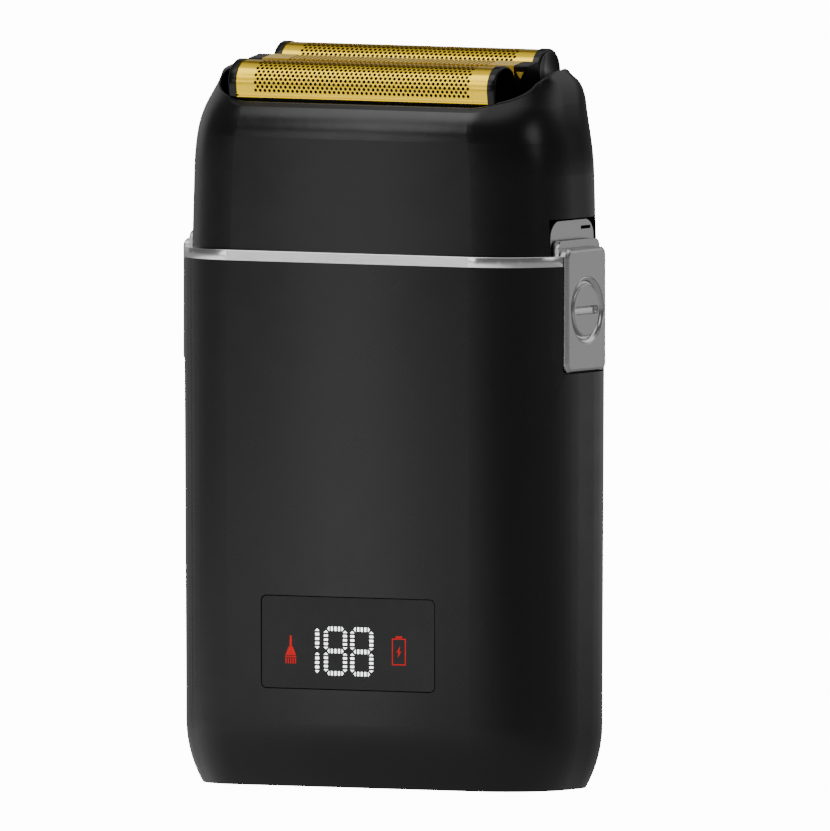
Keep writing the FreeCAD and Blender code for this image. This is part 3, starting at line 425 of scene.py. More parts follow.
# The axes of both foils lie in one plane, at this level above the shaver's foot and tilted about X.
# A point of the head is x, its depth t in that plane and its height n above it.
HEAD_LEVEL = 105.9
HEAD_TILT = math.radians(8.4)
FOIL_CENTRE = 6.85
FOIL_RADIUS = 3.3
FOIL_HALF_LONG = 21.5
CASSETTES = {"front": -1, "rear": 1}
HEAD = Matrix.Translation((0, 0, HEAD_LEVEL)) @ Matrix.Rotation(HEAD_TILT, 4, "X")


def on_head(points, depth=0.0, height=0.0):
    """Points (x, t, n) of the tilted head, moved by a depth and a height, in the row frame."""
    return [HEAD @ Vector((x, t + depth, n + height)) for x, t, n in points]


# ---------------------------------------------------------------- perforated foils

# Round holes in staggered rows along the foil, each in a six-sided cell.
HOLE_PITCH = 0.79
HOLE_ROW = 0.58
HOLE_RADIUS = 0.265
CELL_SIDES = 6
HOLE_SIDES = 2 * CELL_SIDES
HOLE_COLUMNS = 47
HOLE_ROWS = 21
PLAIN_BAND = 0.12
SHEET_THICK = 0.12
CORNER_DIGITS = 4
# How far the sheet is sunk at each distance over the arch: a groove, a bead and the tucked-in foot.
LEG_PROFILE = {
    6.32: 0.0,
    6.42: -0.05,
    6.45: 0.24,
    6.70: 0.24,
    6.73: 0.0,
    6.88: -0.04,
    6.92: 0.34,
    7.38: 0.34,
}


def foil_point(x, along):
    """Point of the foil's skin: along is measured over the arch from its crest, in mm."""
    quarter = FOIL_RADIUS * math.pi / 2
    if abs(along) <= quarter:
        angle = along / FOIL_RADIUS
        return (x, FOIL_RADIUS * math.sin(angle), FOIL_RADIUS * math.cos(angle))
    sunk = LEG_PROFILE.get(abs(along), 0.0)
    return (x, math.copysign(FOIL_RADIUS - sunk, along), quarter - abs(along))


class Skin:
    """Collects polygons of the unrolled foil, with shared corners."""

    def __init__(self):
        self.index = {}
        self.verts = []
        self.faces = []

    def corner(self, x, along):
        key = (round(x, CORNER_DIGITS), round(along, CORNER_DIGITS))
        if key not in self.index:
            self.index[key] = len(self.verts)
            self.verts.append(key)
        return self.index[key]

    def face(self, *points):
        self.faces.append(tuple(self.corner(*point) for point in points))


def hole_cell(skin, x, along, tall, low):
    """One six-sided cell of the foil with a round hole in its middle."""
    half = HOLE_PITCH / 2
    corners = [(0, tall), (half, low), (half, -low), (0, -tall), (-half, -low), (-half, low)]
    rim = []
    for step in range(HOLE_SIDES):
        angle = 2 * math.pi * step / HOLE_SIDES
        rim.append((x + HOLE_RADIUS * math.sin(angle), along + HOLE_RADIUS * math.cos(angle)))
    for step in range(CELL_SIDES):
        ahead = (step + 1) % CELL_SIDES
        first = (x + corners[step][0], along + corners[step][1])
        second = (x + corners[ahead][0], along + corners[ahead][1])
        skin.face(first, second, rim[(2 * step + 2) % HOLE_SIDES], rim[2 * step + 1], rim[2 * step])


def foil_skin():
    """The unrolled foil: staggered holes in the middle, plain ends and plain legs."""
    skin = Skin()
    tall, low = HOLE_ROW * 2 / 3, HOLE_ROW / 3
    left = -HOLE_COLUMNS * HOLE_PITCH / 2
    right = -left
    edge_levels = []
    for row in range(HOLE_ROWS):
        along = (row - (HOLE_ROWS - 1) / 2) * HOLE_ROW
        shifted = row % 2 == 1
        if shifted:
            for column in range(1, HOLE_COLUMNS):
                hole_cell(skin, left + column * HOLE_PITCH, along, tall, low)
            for x, way in ((left, 1), (right, -1)):
                inner = x + way * HOLE_PITCH / 2
                skin.face((x, along + tall), (inner, along + low), (inner, along - low), (x, along - tall))
        else:
            for column in range(HOLE_COLUMNS):
                hole_cell(skin, left + (column + 0.5) * HOLE_PITCH, along, tall, low)
            edge_levels += [along - low, along + low]
    last_row = (HOLE_ROWS - 1) / 2 * HOLE_ROW
    brim = last_row + tall + PLAIN_BAND
    for way in (-1, 1):
        level = way * last_row
        straight = way * brim
        for column in range(HOLE_COLUMNS):
            x = left + column * HOLE_PITCH
            middle = x + HOLE_PITCH / 2
            beyond = x + HOLE_PITCH
            valley, peak = level + way * low, level + way * tall
            skin.face((x, valley), (middle, peak), (middle, straight), (x, straight))
            skin.face((middle, peak), (beyond, valley), (beyond, straight), (middle, straight))
    levels = [-brim] + edge_levels + [brim]
    for x, outer in ((left, -FOIL_HALF_LONG), (right, FOIL_HALF_LONG)):
        for below, above in zip(levels, levels[1:]):
            skin.face((x, below), (outer, below), (outer, above), (x, above))
    columns = [-FOIL_HALF_LONG] + [left + step * HOLE_PITCH / 2 for step in range(2 * HOLE_COLUMNS + 1)]
    columns.append(FOIL_HALF_LONG)
    steps = [brim] + list(LEG_PROFILE)
    for way in (-1, 1):
        for start, end in zip(steps, steps[1:]):
            near, far = way * start, way * end
            for here, there in zip(columns, columns[1:]):
                skin.face((here, near), (there, near), (there, far), (here, far))
    return skin


def make_foils():
    """Perforated sheets in place of the plain foils of the frame."""
    skin = foil_skin()
    for edge, sign in CASSETTES.items():
        outside = [foil_point(x, along) for x, along in skin.verts]
        verts = on_head(outside, sign * FOIL_CENTRE)
        foil = piece(f"{edge}_foil_sheet", (verts, skin.faces), f"{edge}_foil_cassette", "gold")
        thicken(foil, SHEET_THICK)
        sharpen(foil, degrees=40)
        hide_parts(f"{edge}_foil")


CUTTER_RADIUS = 3.13
CUTTER_SPREAD = math.radians(36)
CUTTER_THICK = 0.12
CUTTER_STEPS = 16


def make_cutter_crowns():
    """Crests of the cutters, just under the foils, that close the view through the holes; their near black
    steel is painted shade.
    """
    angles = [CUTTER_SPREAD * (2 * step / CUTTER_STEPS - 1) for step in range(CUTTER_STEPS + 1)]
    under = CUTTER_RADIUS - CUTTER_THICK
    for edge, sign in CASSETTES.items():
        low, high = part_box(f"{edge}_cutter")
        rings = []
        for x in (low.x / MM, high.x / MM):
            outer = [(x, CUTTER_RADIUS * math.sin(a), CUTTER_RADIUS * math.cos(a)) for a in angles]
            inner = [(x, under * math.sin(a), under * math.cos(a)) for a in reversed(angles)]
            rings.append(on_head(outer + inner, sign * FOIL_CENTRE))
        crest = piece(f"{edge}_cutter_crest", loft(rings), f"{edge}_cutter_block", "blade_steel")
        sharpen(crest, degrees=40)


# ---------------------------------------------------------------- foil end caps

CAP_RADIUS = 3.45
CAP_LEG = 4.6
CAP_STEPS = 28
# How far the cap's outline is drawn in, and how far out from the end of the foil.
CAP_PROFILE = (
    (0.0, 0.0),
    (0.0, 1.0),
    (0.05, 1.16),
    (0.16, 1.26),
    (0.34, 1.30),
    (0.55, 1.30),
    (0.68, 1.16),
)


def arch_ring(inset):
    """Outline of an end cap, drawn in by inset, from one foot over the arch to the other."""
    radius = CAP_RADIUS - inset
    foot = -CAP_LEG + inset
    points = [(-radius, foot)]
    for step in range(CAP_STEPS + 1):
        angle = math.pi * step / CAP_STEPS
        points.append((-radius * math.cos(angle), radius * math.sin(angle)))
    points.append((radius, foot))
    return points


def make_end_caps():
    """Caps with a chamfered rim and a shallow dished side face."""
    for edge, sign in CASSETTES.items():
        for side, way in (("left", -1), ("right", 1)):
            rings = []
            for inset, out in CAP_PROFILE:
                x = way * (FOIL_HALF_LONG + out)
                outline = [(x, t, n) for t, n in arch_ring(inset)]
                rings.append(on_head(outline, sign * FOIL_CENTRE))
            node = f"{edge}_foil_cap_{side}"
            body = f"{edge}_foil_cassette"
            cap = piece(f"{node}_moulding", loft(rings), body, "gloss_black_plastic")
            sharpen(cap, degrees=50)
            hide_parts(node)


# ---------------------------------------------------------------- head details

# The lip is a round bead that lies just outside the mouth, sunk into the casing by this much.
LIP_RADIUS = 0.16
LIP_SIDES = 8
LIP_OUTSIDE = 0.12
LIP_SUNK = 0.55 * LIP_RADIUS
MOUTH_HALF_WIDE = 27.0
MOUTH_HALF_DEEP = 10.9
MOUTH_CORNER = 8.0
MOUTH_CORNER_STEPS = 24
MOUTH_SIDE_STEPS = 40
ABOVE_HEAD = 200.0


def mouth_outline(outwards):
    """Plan of the casing's mouth, moved outwards by this much, as points in order."""
    corner = MOUTH_CORNER + outwards
    straight_x = MOUTH_HALF_WIDE - MOUTH_CORNER
    straight_y = MOUTH_HALF_DEEP - MOUTH_CORNER
    points = []
    for quarter, (way_x, way_y) in enumerate(((1, 1), (-1, 1), (-1, -1), (1, -1))):
        for step in range(MOUTH_CORNER_STEPS + 1):
            angle = math.pi / 2 * (quarter + step / MOUTH_CORNER_STEPS)
            x = way_x * straight_x + corner * math.cos(angle)
            points.append((x, way_y * straight_y + corner * math.sin(angle)))
        if way_x == way_y:
            for step in range(1, MOUTH_SIDE_STEPS):
                x = way_x * straight_x * (1 - 2 * step / MOUTH_SIDE_STEPS)
                points.append((x, way_y * (straight_y + corner)))
    return points


def mouth_edge():
    """Points of the casing's top surface along its mouth, found by looking down on it."""
    casing = NODES["head_casing"]
    surface = BVHTree.FromObject(casing, bpy.context.evaluated_depsgraph_get())
    to_casing = casing.matrix_world.inverted()
    down = to_casing.to_3x3() @ Vector((0, 0, -1))
    edge = []
    for x, y in mouth_outline(LIP_OUTSIDE):
        start = to_casing @ (Vector((x, y, ABOVE_HEAD)) * MM)
        hit = surface.ray_cast(start, down)[0]
        if hit is not None:
            edge.append((casing.matrix_world @ hit) / MM)
    return edge


def make_mouth_lip():
    """Fine rounded lip along the edge of the casing's mouth."""
    edge = mouth_edge()
    count = len(edge)
    verts = []
    for index, point in enumerate(edge):
        along = (edge[(index + 1) % count] - edge[index - 1]).normalized()
        out = along.cross(Vector((0, 0, 1))).normalized()
        up = out.cross(along)
        for side in range(LIP_SIDES):
            angle = 2 * math.pi * side / LIP_SIDES
            offset = out * math.cos(angle) + up * math.sin(angle)
            verts.append(point - up * LIP_SUNK + offset * LIP_RADIUS)
    faces = []
    for index in range(count):
        here, there = index * LIP_SIDES, (index + 1) % count * LIP_SIDES
        for side in range(LIP_SIDES):
            turn = (side + 1) % LIP_SIDES
            faces.append((here + side, here + turn, there + turn, there + side))
    piece("casing_mouth_lip", (verts, faces), "head", "satin_black_casing")


# Section of the strip at a foil's foot: how far inside the foil's skin, and its height.
RAIL_SECTION = ((0.33, -2.2), (0.33, -1.74), (0.16, -1.74), (0.08, -1.82), (0.08, -2.2))
RAIL_END_GAP = 0.05


def make_foil_rails():
    """Black strips that hold the feet of the foils."""
    half_long = FOIL_HALF_LONG - RAIL_END_GAP
    for edge, sign in CASSETTES.items():
        body = f"{edge}_foil_cassette"
        for side, way in (("inner", -sign), ("outer", sign)):
            rings = []
            for x in (-half_long, half_long):
                section = [(x, way * (FOIL_RADIUS - inside), n) for inside, n in RAIL_SECTION]
                rings.append(on_head(section, sign * FOIL_CENTRE))
            piece(f"{edge}_foil_rail_{side}", loft(rings), body, "black_plastic", smooth=False)


# ---------------------------------------------------------------- side controls

SIDE_CONTROLS = {"slide": (1, "power_slider"), "release": (-1, "release_button")}
PLATE_CORNER = 1.1
PLATE_STEPS = 240
# The search for the plate's outline starts from this radius and halves its range this often.
SEARCH_RADIUS = 40.0
HALVINGS = 40
# Back edge of a plate: how far in front of its back, and how far its outline is drawn in.
PLATE_BACK = ((0.0, 0.05), (0.1, 0.0))
# Bevelled front edge: how far below its face, and how far its outline is drawn in.
PLATE_FRONT = ((0.45, 0.0), (0.12, 0.22), (0.0, 0.55))
# Round parts about the screw's axis: how far below the face, and the radius there.
RECESS_PROFILE = ((0.0, 5.08), (0.05, 5.0), (0.72, 5.0))
RING_PROFILE = ((0.72, 4.98), (0.06, 4.98), (0.02, 4.88), (0.30, 4.62), (0.34, 4.50), (0.60, 4.30))
SCREW_PROFILE = ((0.85, 4.0), (0.22, 4.0), (0.07, 3.93), (0.0, 3.74))
SLOT_HALF_LONG = 3.55
SLOT_HALF_WIDE = 0.65
SLOT_STEPS = 48
# Rounded slot of the screw: how far below the face, and how far it has narrowed there.
SLOT_PROFILE = ((0.55, 0.50), (0.48, 0.31), (0.36, 0.15), (0.20, 0.04), (0.0, 0.0), (-1.0, 0.0))


def reach_of_plate(angle, half_deep, below, above, corner):
    """Distance from the screw's axis to the plate's rounded outline, at this angle."""
    way = Vector((math.sin(angle), math.cos(angle)))
    low, high = 0.0, SEARCH_RADIUS
    for _ in range(HALVINGS):
        middle = (low + high) / 2
        y, z = way * middle
        edge_y, edge_z = half_deep - corner, (above if z > 0 else below) - corner
        over_y, over_z = max(abs(y) - edge_y, 0.0), max(abs(z) - edge_z, 0.0)
        if math.hypot(over_y, over_z) < corner:
            low = middle
        else:
            high = middle
    return low


def control_skin(sign, level, stations):
    """Skin about the screw's axis; a station is its x and a function from the angle to a radius."""
    rings = []
    for x, radius_at in stations:
        ring = []
        for step in range(PLATE_STEPS):
            angle = 2 * math.pi * step / PLATE_STEPS
            radius = radius_at(angle)
            ring.append((sign * x, radius * math.sin(angle), level + radius * math.cos(angle)))
        rings.append(ring)
    return loft(rings)


def outline_at(inset, low, high, level):
    """Plate outline drawn in by inset, as a function of the angle."""
    half_deep = (high.y - low.y) / 2 / MM - inset
    below, above = level - low.z / MM - inset, high.z / MM - level - inset
    corner = PLATE_CORNER - inset / 2
    return lambda angle: reach_of_plate(angle, half_deep, below, above, corner)


def round_stations(face, profile):
    """Circles of a profile below the face."""
    return [(face - deep, lambda angle, radius=radius: radius) for deep, radius in profile]


def make_side_plates():
    """Plates with rounded corners, a bevelled edge and a conical chrome recess round the screw."""
    for name, (sign, body) in SIDE_CONTROLS.items():
        low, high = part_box(f"{name}_plate")
        screw_low, screw_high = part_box(f"{name}_screw")
        level = (screw_low.z + screw_high.z) / 2 / MM
        back = min(abs(low.x), abs(high.x)) / MM
        face = max(abs(low.x), abs(high.x)) / MM
        stations = [(back + out, outline_at(inset, low, high, level)) for out, inset in PLATE_BACK]
        stations += [(face - deep, outline_at(inset, low, high, level)) for deep, inset in PLATE_FRONT]
        stations += round_stations(face, RECESS_PROFILE)
        plate = piece(f"{name}_plate_face", control_skin(sign, level, stations), body, "brushed_silver")
        sharpen(plate, degrees=14)
        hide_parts(f"{name}_plate")
        cone = control_skin(sign, level, round_stations(face, RING_PROFILE))
        ring = piece(f"{name}_plate_ring", cone, body, "screw_chrome")
        sharpen(ring, degrees=30)


def slot_skin(sign, level, face):
    """What the slot takes out of a screw's head."""
    rings = []
    for deep, inset in SLOT_PROFILE:
        half_wide = SLOT_HALF_WIDE - inset
        outline = []
        for step in range(SLOT_STEPS):
            angle = 2 * math.pi * step / SLOT_STEPS
            straight = math.copysign(SLOT_HALF_LONG - SLOT_HALF_WIDE, math.cos(angle))
            y, z = straight + half_wide * math.cos(angle), level + half_wide * math.sin(angle)
            outline.append((sign * (face - deep), y, z))
        rings.append(outline)
    return loft(rings)


def take_out(obj, cutter):
    """Cuts one piece out of another and deletes it."""
    carve = obj.modifiers.new("slot", "BOOLEAN")
    carve.operation = "DIFFERENCE"
    carve.object = cutter
    graph = bpy.context.evaluated_depsgraph_get()
    carved = bpy.data.meshes.new_from_object(obj.evaluated_get(graph))
    obj.modifiers.clear()
    obj.data = carved
    bpy.data.objects.remove(cutter)


def make_side_screws():
    """Round-edged heads with a closed slot."""
    for name, (sign, body) in SIDE_CONTROLS.items():
        low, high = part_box(f"{name}_screw")
        level = (low.z + high.z) / 2 / MM
        face = max(abs(low.x), abs(high.x)) / MM
        skin = control_skin(sign, level, round_stations(face, SCREW_PROFILE))
        head = piece(f"{name}_screw_head", skin, body, "brushed_silver")
        cutter = piece(f"{name}_slot_cutter", slot_skin(sign, level, face), body, "brushed_silver")
        take_out(head, cutter)
        sharpen(head, degrees=14)
        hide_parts(f"{name}_screw")


# ---------------------------------------------------------------- springs


WIRE_RADIUS = 0.22
WIRE_SIDES = 8
COIL_STEPS = 20
CLOSED_TURNS = 0.9
CUTTER_COIL_RADIUS = 1.85
CUTTER_COIL_TURNS = 4.5
# How far below the foils' axes a cutter's spring starts and ends.
CUTTER_COIL_SEAT = 6.6
CUTTER_COIL_FOOT = 10.3
BUTTON_COIL_RADIUS = 2.1
BUTTON_COIL_TURNS = 3.5


def coil(radius, height, turns):
    """Rings of a compression spring's wire, standing on its end, with its end turns closed up."""
    total = int(turns * COIL_STEPS)
    pitch = 2 * WIRE_RADIUS
    room = height - pitch
    centres = []
    for step in range(total + 1):
        turn = turns * step / total
        if turn < CLOSED_TURNS:
            rise = turn * pitch
        elif turn > turns - CLOSED_TURNS:
            rise = room - (turns - turn) * pitch
        else:
            share = (turn - CLOSED_TURNS) / (turns - 2 * CLOSED_TURNS)
            rise = CLOSED_TURNS * pitch + share * (room - 2 * CLOSED_TURNS * pitch)
        angle = 2 * math.pi * turn
        centre = Vector((radius * math.cos(angle), radius * math.sin(angle), WIRE_RADIUS + rise))
        centres.append((centre, angle))
    rings = []
    for centre, angle in centres:
        outward = Vector((math.cos(angle), math.sin(angle), 0))
        ring = []
        for side in range(WIRE_SIDES):
            around = 2 * math.pi * side / WIRE_SIDES
            offset = outward * math.cos(around) + Vector((0, 0, 1)) * math.sin(around)
            ring.append(centre + WIRE_RADIUS * offset)
        rings.append(ring)
    return rings


def make_cutter_springs():
    """Real coils in place of the plain sleeves that hold their room under the cutters."""
    length = CUTTER_COIL_FOOT - CUTTER_COIL_SEAT
    for edge, sign in CASSETTES.items():
        rings = []
        for ring in coil(CUTTER_COIL_RADIUS, length, CUTTER_COIL_TURNS):
            rings.append(on_head(ring, sign * FOIL_CENTRE, -CUTTER_COIL_FOOT))
        spring = piece(f"{edge}_cutter_coil", loft(rings), f"{edge}_cutter_block", "spring_steel")
        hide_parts(f"{edge}_cutter_spring")
        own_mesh(spring)


def make_button_spring():
    """A real coil, lying along X, in place of the plain sleeve behind the release button."""
    low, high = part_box("release_spring")
    length = (high.x - low.x) / MM
    middle = (low + high) / 2 / MM
    rings = []
    for ring in coil(BUTTON_COIL_RADIUS, length, BUTTON_COIL_TURNS):
        rings.append([(low.x / MM + p.z, middle.y + p.x, middle.z + p.y) for p in ring])
    spring = piece("release_coil", loft(rings), "release_button", "spring_steel")
    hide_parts("release_spring")
    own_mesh(spring)


# ---------------------------------------------------------------- display

SEGMENT_WIDE = 0.64
SEGMENT_THICK = 0.03
SEGMENT_GAP = 0.25
BLOCKS = 5
BLOCK_GAP = 0.28
# A pointed end takes up to this share of its block.
TIP_SHARE = 0.8
DIGIT_FOOT = 16.9
DIGIT_TOP = 24.2
ONE_LEFT = -5.6
# Left and right edges of the two eights.
EIGHTS = ((-4.1, -0.2), (0.4, 4.3))
# Middle and foot of each icon; its own sizes start from there.
BRUSH_PLACE = (-9.8, 18.5)
BATTERY_PLACE = (8.7, 18.7)
# Handle and skirt of the brush: level and half width of the lower end, then of the upper end.
BRUSH_PARTS = (((2.5, 0.2), (4.2, 0.14)), ((1.25, 0.9), (2.5, 0.36)))
BAND_LEVEL = 1.05
BAND_HALF_LONG = 0.95
BRISTLES = 5
BRISTLE_PITCH = 0.4
BRISTLE_LONG = 0.88
BRISTLE_WIDE = 0.19
ICON_LINE = 0.16
BATTERY_HALF_WIDE = 1.1
BATTERY_TALL = 4.0
BATTERY_CAP_HALF_LONG = 0.55
BATTERY_CAP_RISE = 0.2
BATTERY_CAP_TALL = 0.3
# Upper half of the bolt about the battery's middle; the lower half is the same, turned round.
BOLT_HALF = ((0.2, 0.85), (-0.42, -0.08), (0.08, -0.02))


def plates(shapes, front):
    """Thin plates with the given outlines in the front plane; each outline is (x, z) points."""
    verts, faces = [], []
    for outline in shapes:
        rings = []
        for depth in (0.0, -SEGMENT_THICK):
            rings.append([(x, front + depth, z) for x, z in outline])
        shape_verts, shape_faces = loft(rings)
        start = len(verts)
        verts += shape_verts
        faces += [tuple(start + corner for corner in face) for face in shape_faces]
    return verts, faces


def bar(start, end, wide):
    """Outline of a straight bar from start to end."""
    a, b = Vector(start), Vector(end)
    way = (b - a).normalized()
    side = Vector((-way.y, way.x)) * wide / 2
    return [tuple(p) for p in (a - side, b - side, b + side, a + side)]


def segment(start, end):
    """A display segment, split into blocks by thin dark gaps; its end blocks are pointed."""
    a, b = Vector(start), Vector(end)
    length = (b - a).length
    way = (b - a) / length
    side = Vector((-way.y, way.x)) * SEGMENT_WIDE / 2
    block = (length - (BLOCKS - 1) * BLOCK_GAP) / BLOCKS
    tip = way * min(block * TIP_SHARE, SEGMENT_WIDE / 2)
    shapes = []
    for number in range(BLOCKS):
        near = a + way * number * (block + BLOCK_GAP)
        far = near + way * block
        if number == 0:
            outline = [near, near + tip - side, far - side, far + side, near + tip + side]
        elif number == BLOCKS - 1:
            outline = [near - side, far - tip - side, far, far - tip + side, near + side]
        else:
            outline = [near - side, far - side, far + side, near + side]
        shapes.append([tuple(point) for point in outline])
    return shapes


def eight(left, right):
    """All seven segments of one digit."""
    half = SEGMENT_WIDE / 2
    low, high = DIGIT_FOOT + half, DIGIT_TOP - half
    west, east = left + half, right - half
    middle, gap = (low + high) / 2, SEGMENT_GAP
    shapes = []
    for level in (low, middle, high):
        shapes += segment((west + gap, level), (east - gap, level))
    for x in (west, east):
        shapes += segment((x, low + gap), (x, middle - gap))
        shapes += segment((x, middle + gap), (x, high - gap))
    return shapes


def one(left):
    """The two segments that make the figure one."""
    half = SEGMENT_WIDE / 2
    x = left + half
    low, high = DIGIT_FOOT + half, DIGIT_TOP - half
    middle, gap = (low + high) / 2, SEGMENT_GAP
    return segment((x, low), (x, middle - gap)) + segment((x, middle + gap), (x, high))


def brush_icon(centre, foot):
    """Cleaning brush: handle, flared skirt, band and bristles."""
    shapes = []
    for (low, low_half), (high, high_half) in BRUSH_PARTS:
        base = [(centre - low_half, foot + low), (centre + low_half, foot + low)]
        top = [(centre + high_half, foot + high), (centre - high_half, foot + high)]
        shapes.append(base + top)
    level = foot + BAND_LEVEL
    band = ((centre - BAND_HALF_LONG, level), (centre + BAND_HALF_LONG, level))
    shapes.append(bar(*band, ICON_LINE))
    for number in range(BRISTLES):
        x = centre + (number - (BRISTLES - 1) / 2) * BRISTLE_PITCH
        shapes.append(bar((x, foot), (x, foot + BRISTLE_LONG), BRISTLE_WIDE))
    return shapes


def battery_icon(centre, foot):
    """Battery outline with its cap and a bolt in the middle."""
    left, right = centre - BATTERY_HALF_WIDE, centre + BATTERY_HALF_WIDE
    top = foot + BATTERY_TALL
    half = ICON_LINE / 2
    shapes = [bar((x, foot), (x, top), ICON_LINE) for x in (left, right)]
    for level in (foot + half, top - half):
        shapes.append(bar((left + half, level), (right - half, level), ICON_LINE))
    level = top + BATTERY_CAP_RISE
    cap = ((centre - BATTERY_CAP_HALF_LONG, level), (centre + BATTERY_CAP_HALF_LONG, level))
    shapes.append(bar(*cap, BATTERY_CAP_TALL))
    middle = foot + BATTERY_TALL / 2
    for way in (1, -1):
        shapes.append([(centre + way * x, middle + way * z) for x, z in BOLT_HALF])
    return shapes


def make_display():
    """Lit digits and icons, a little proud of the window."""
    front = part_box("display_window")[0].y / MM
    white = glowing("display_white", (0.95, 0.97, 1.0), 4.0)
    red = glowing("display_red", (1.0, 0.0, 0.0), 0.75)
    digits = one(ONE_LEFT)
    for left, right in EIGHTS:
        digits += eight(left, right)
    icons = brush_icon(*BRUSH_PLACE) + battery_icon(*BATTERY_PLACE)
    for name, shapes, glow in (("digits", digits, white), ("icons", icons, red)):
        piece(f"display_{name}", plates(shapes, front), "handle", "dark_window", glow, smooth=False)


# ---------------------------------------------------------------- studio

CAMERA_AZIMUTH = math.radians(29.2)
CAMERA_ELEVATION = math.radians(3.13)
# In metres: the height of the view, its middle from the origin, and the camera's distance.
PICTURE_SIZE = 0.12409
AIM_RIGHT = 0.00308
AIM_UP = 0.05508
CAMERA_AWAY = 0.6
NEAREST_SEEN = 0.01
FARTHEST_SEEN = 20


def make_camera():
    """An orthographic camera that looks from the front and the right."""
    sin_a, cos_a = math.sin(CAMERA_AZIMUTH), math.cos(CAMERA_AZIMUTH)
    sin_e, cos_e = math.sin(CAMERA_ELEVATION), math.cos(CAMERA_ELEVATION)
    right = Vector((cos_a, sin_a, 0))
    up = Vector((-sin_a * sin_e, cos_a * sin_e, cos_e))
    forward = Vector((-sin_a * cos_e, cos_a * cos_e, -sin_e))
    data = bpy.data.cameras.new("camera")
    data.type = "ORTHO"
    data.ortho_scale = PICTURE_SIZE
    data.clip_start, data.clip_end = NEAREST_SEEN, FARTHEST_SEEN
    camera = bpy.data.objects.new("camera", data)
    camera.location = right * AIM_RIGHT + up * AIM_UP - forward * CAMERA_AWAY
    camera.rotation_mode = "QUATERNION"
    camera.rotation_quaternion = forward.to_track_quat("-Z", "Y")
    bpy.context.scene.collection.objects.link(camera)
    bpy.context.scene.camera = camera


# Soft lamps of the studio: azimuth, elevation, the radius of the bright part and of the whole lamp,
# all in degrees, and the brightness. Azimuth 0 is in front of the display side, 90 on the right.
LAMPS = (
    (-29, 4, 3, 12, 2.45),
    (-29, 25, 3, 12, 3.4),
    (-38, 50, 6, 22, 3.0),
    (152, 36, 10, 30, 1.1),
    (-140, 4, 14, 40, 0.35),
    (10, 84, 18, 50, 1.2),
    (91, 17, 3, 13, 1.6),
)
AMBIENT = 0.14
BACKDROP = 14.0
# Radius of the floor in metres, and how far it lies below the shaver's foot in millimetres.
FLOOR_RADIUS = 3.0
FLOOR_DROP = 0.2
FLOOR_SIDES = 64
FLOOR_WHITE = 0.93 * BACKDROP
FLOOR_GLOW = 0.28
# Bright pools on the floor that only the object mirrors: centre and radius in metres, strength.
POOLS = (((-0.22, -0.40, 0), 0.50, 1.2), ((0.60, 1.08, 0), 1.05, 0.65))
POOL_CORE = 0.1


def lamp_light(tree, direction):
    """Brightness that comes from a direction: the ambient light and the lamps there."""
    total = AMBIENT
    for azimuth, elevation, inner, outer, strength in LAMPS:
        a, e = math.radians(azimuth), math.radians(elevation)
        toward = (math.sin(a) * math.cos(e), -math.cos(a) * math.cos(e), math.sin(e))
        facing = vector_node(tree, "DOT_PRODUCT", direction, toward)
        rim, core = math.cos(math.radians(outer)), math.cos(math.radians(inner))
        glow = spread(tree, facing, 0.0, strength, rim, core, ramp="SMOOTHERSTEP")
        total = math_node(tree, "ADD", total, glow)
    return total


def make_world():
    """White backdrop; the object is lit and mirrored by the lamps alone."""
    world = bpy.data.worlds.new("studio")
    world.use_nodes = True
    tree = world.node_tree
    tree.nodes.clear()
    coords = add(tree, "ShaderNodeTexCoord")
    strength = lamp_light(tree, coords.outputs["Generated"])
    light = add(tree, "ShaderNodeBackground", Strength=strength)
    backdrop = add(tree, "ShaderNodeBackground", Color=(1, 1, 1, 1), Strength=BACKDROP)
    seen = add(tree, "ShaderNodeLightPath").outputs["Is Camera Ray"]
    sky = mix_shaders(tree, seen, light.outputs["Background"], backdrop.outputs["Background"])
    add(tree, "ShaderNodeOutputWorld", Surface=sky)
    bpy.context.scene.world = world


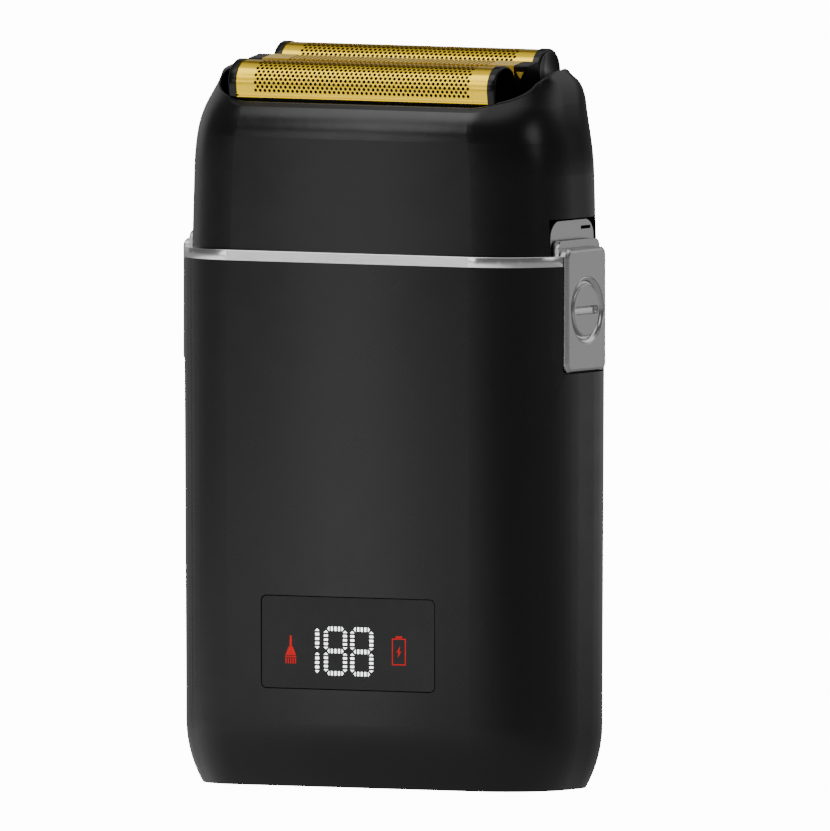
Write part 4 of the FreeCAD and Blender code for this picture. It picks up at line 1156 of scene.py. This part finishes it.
def pool_light(tree):
    """Brightness of the floor as the object mirrors it: an even glow with brighter pools."""
    coords = add(tree, "ShaderNodeTexCoord")
    total = FLOOR_GLOW
    for centre, reach, strength in POOLS:
        away = vector_node(tree, "DISTANCE", coords.outputs["Object"], centre)
        pool = spread(tree, away, strength, 0.0, POOL_CORE, reach)
        total = math_node(tree, "ADD", pool, total)
    return total


def floor_material():
    """White to the eye, dimmer with brighter pools in a mirror, and clear from below."""
    material, tree, shader = new_material("floor")
    tone = two_tone(tree, noise(tree, scale=3, detail=2), (0.80, 0.80, 0.80), (0.82, 0.82, 0.82))
    connect(tree, shader.inputs["Base Color"], tone)
    shader.inputs["Roughness"].default_value = 0.9
    shader.inputs["Specular IOR Level"].default_value = 0.0
    shader.inputs["Emission Color"].default_value = (1, 1, 1, 1)
    shader.inputs["Emission Strength"].default_value = FLOOR_WHITE
    dim = add(tree, "ShaderNodeEmission", Strength=pool_light(tree))
    seen = add(tree, "ShaderNodeLightPath").outputs["Is Camera Ray"]
    lit = mix_shaders(tree, seen, dim.outputs["Emission"], shader.outputs["BSDF"])
    below = add(tree, "ShaderNodeNewGeometry").outputs["Backfacing"]
    clear = add(tree, "ShaderNodeBsdfTransparent")
    surface = mix_shaders(tree, below, lit, clear.outputs["BSDF"])
    connect(tree, tree.nodes["Material Output"].inputs["Surface"], surface)
    return material


def make_floor():
    """Plain pale round floor, a hair below the shaver's foot."""
    verts = []
    for step in range(FLOOR_SIDES):
        angle = 2 * math.pi * step / FLOOR_SIDES
        verts.append((FLOOR_RADIUS * math.cos(angle), FLOOR_RADIUS * math.sin(angle), -FLOOR_DROP * MM))
    mesh = bpy.data.meshes.new("floor")
    mesh.from_pydata(verts, [], [tuple(range(FLOOR_SIDES))])
    mesh.materials.append(floor_material())
    floor = bpy.data.objects.new("floor", mesh)
    bpy.context.scene.collection.objects.link(floor)


# ---------------------------------------------------------------- scene

finish_nodes()
for soft_node, rounding in SOFT_EDGES.items():
    soften_edges(soft_node, rounding)
make_foils()
make_cutter_crowns()
make_end_caps()
make_mouth_lip()
make_foil_rails()
make_side_plates()
make_side_screws()
make_cutter_springs()
make_button_spring()
make_display()
make_camera()
make_world()
make_floor()
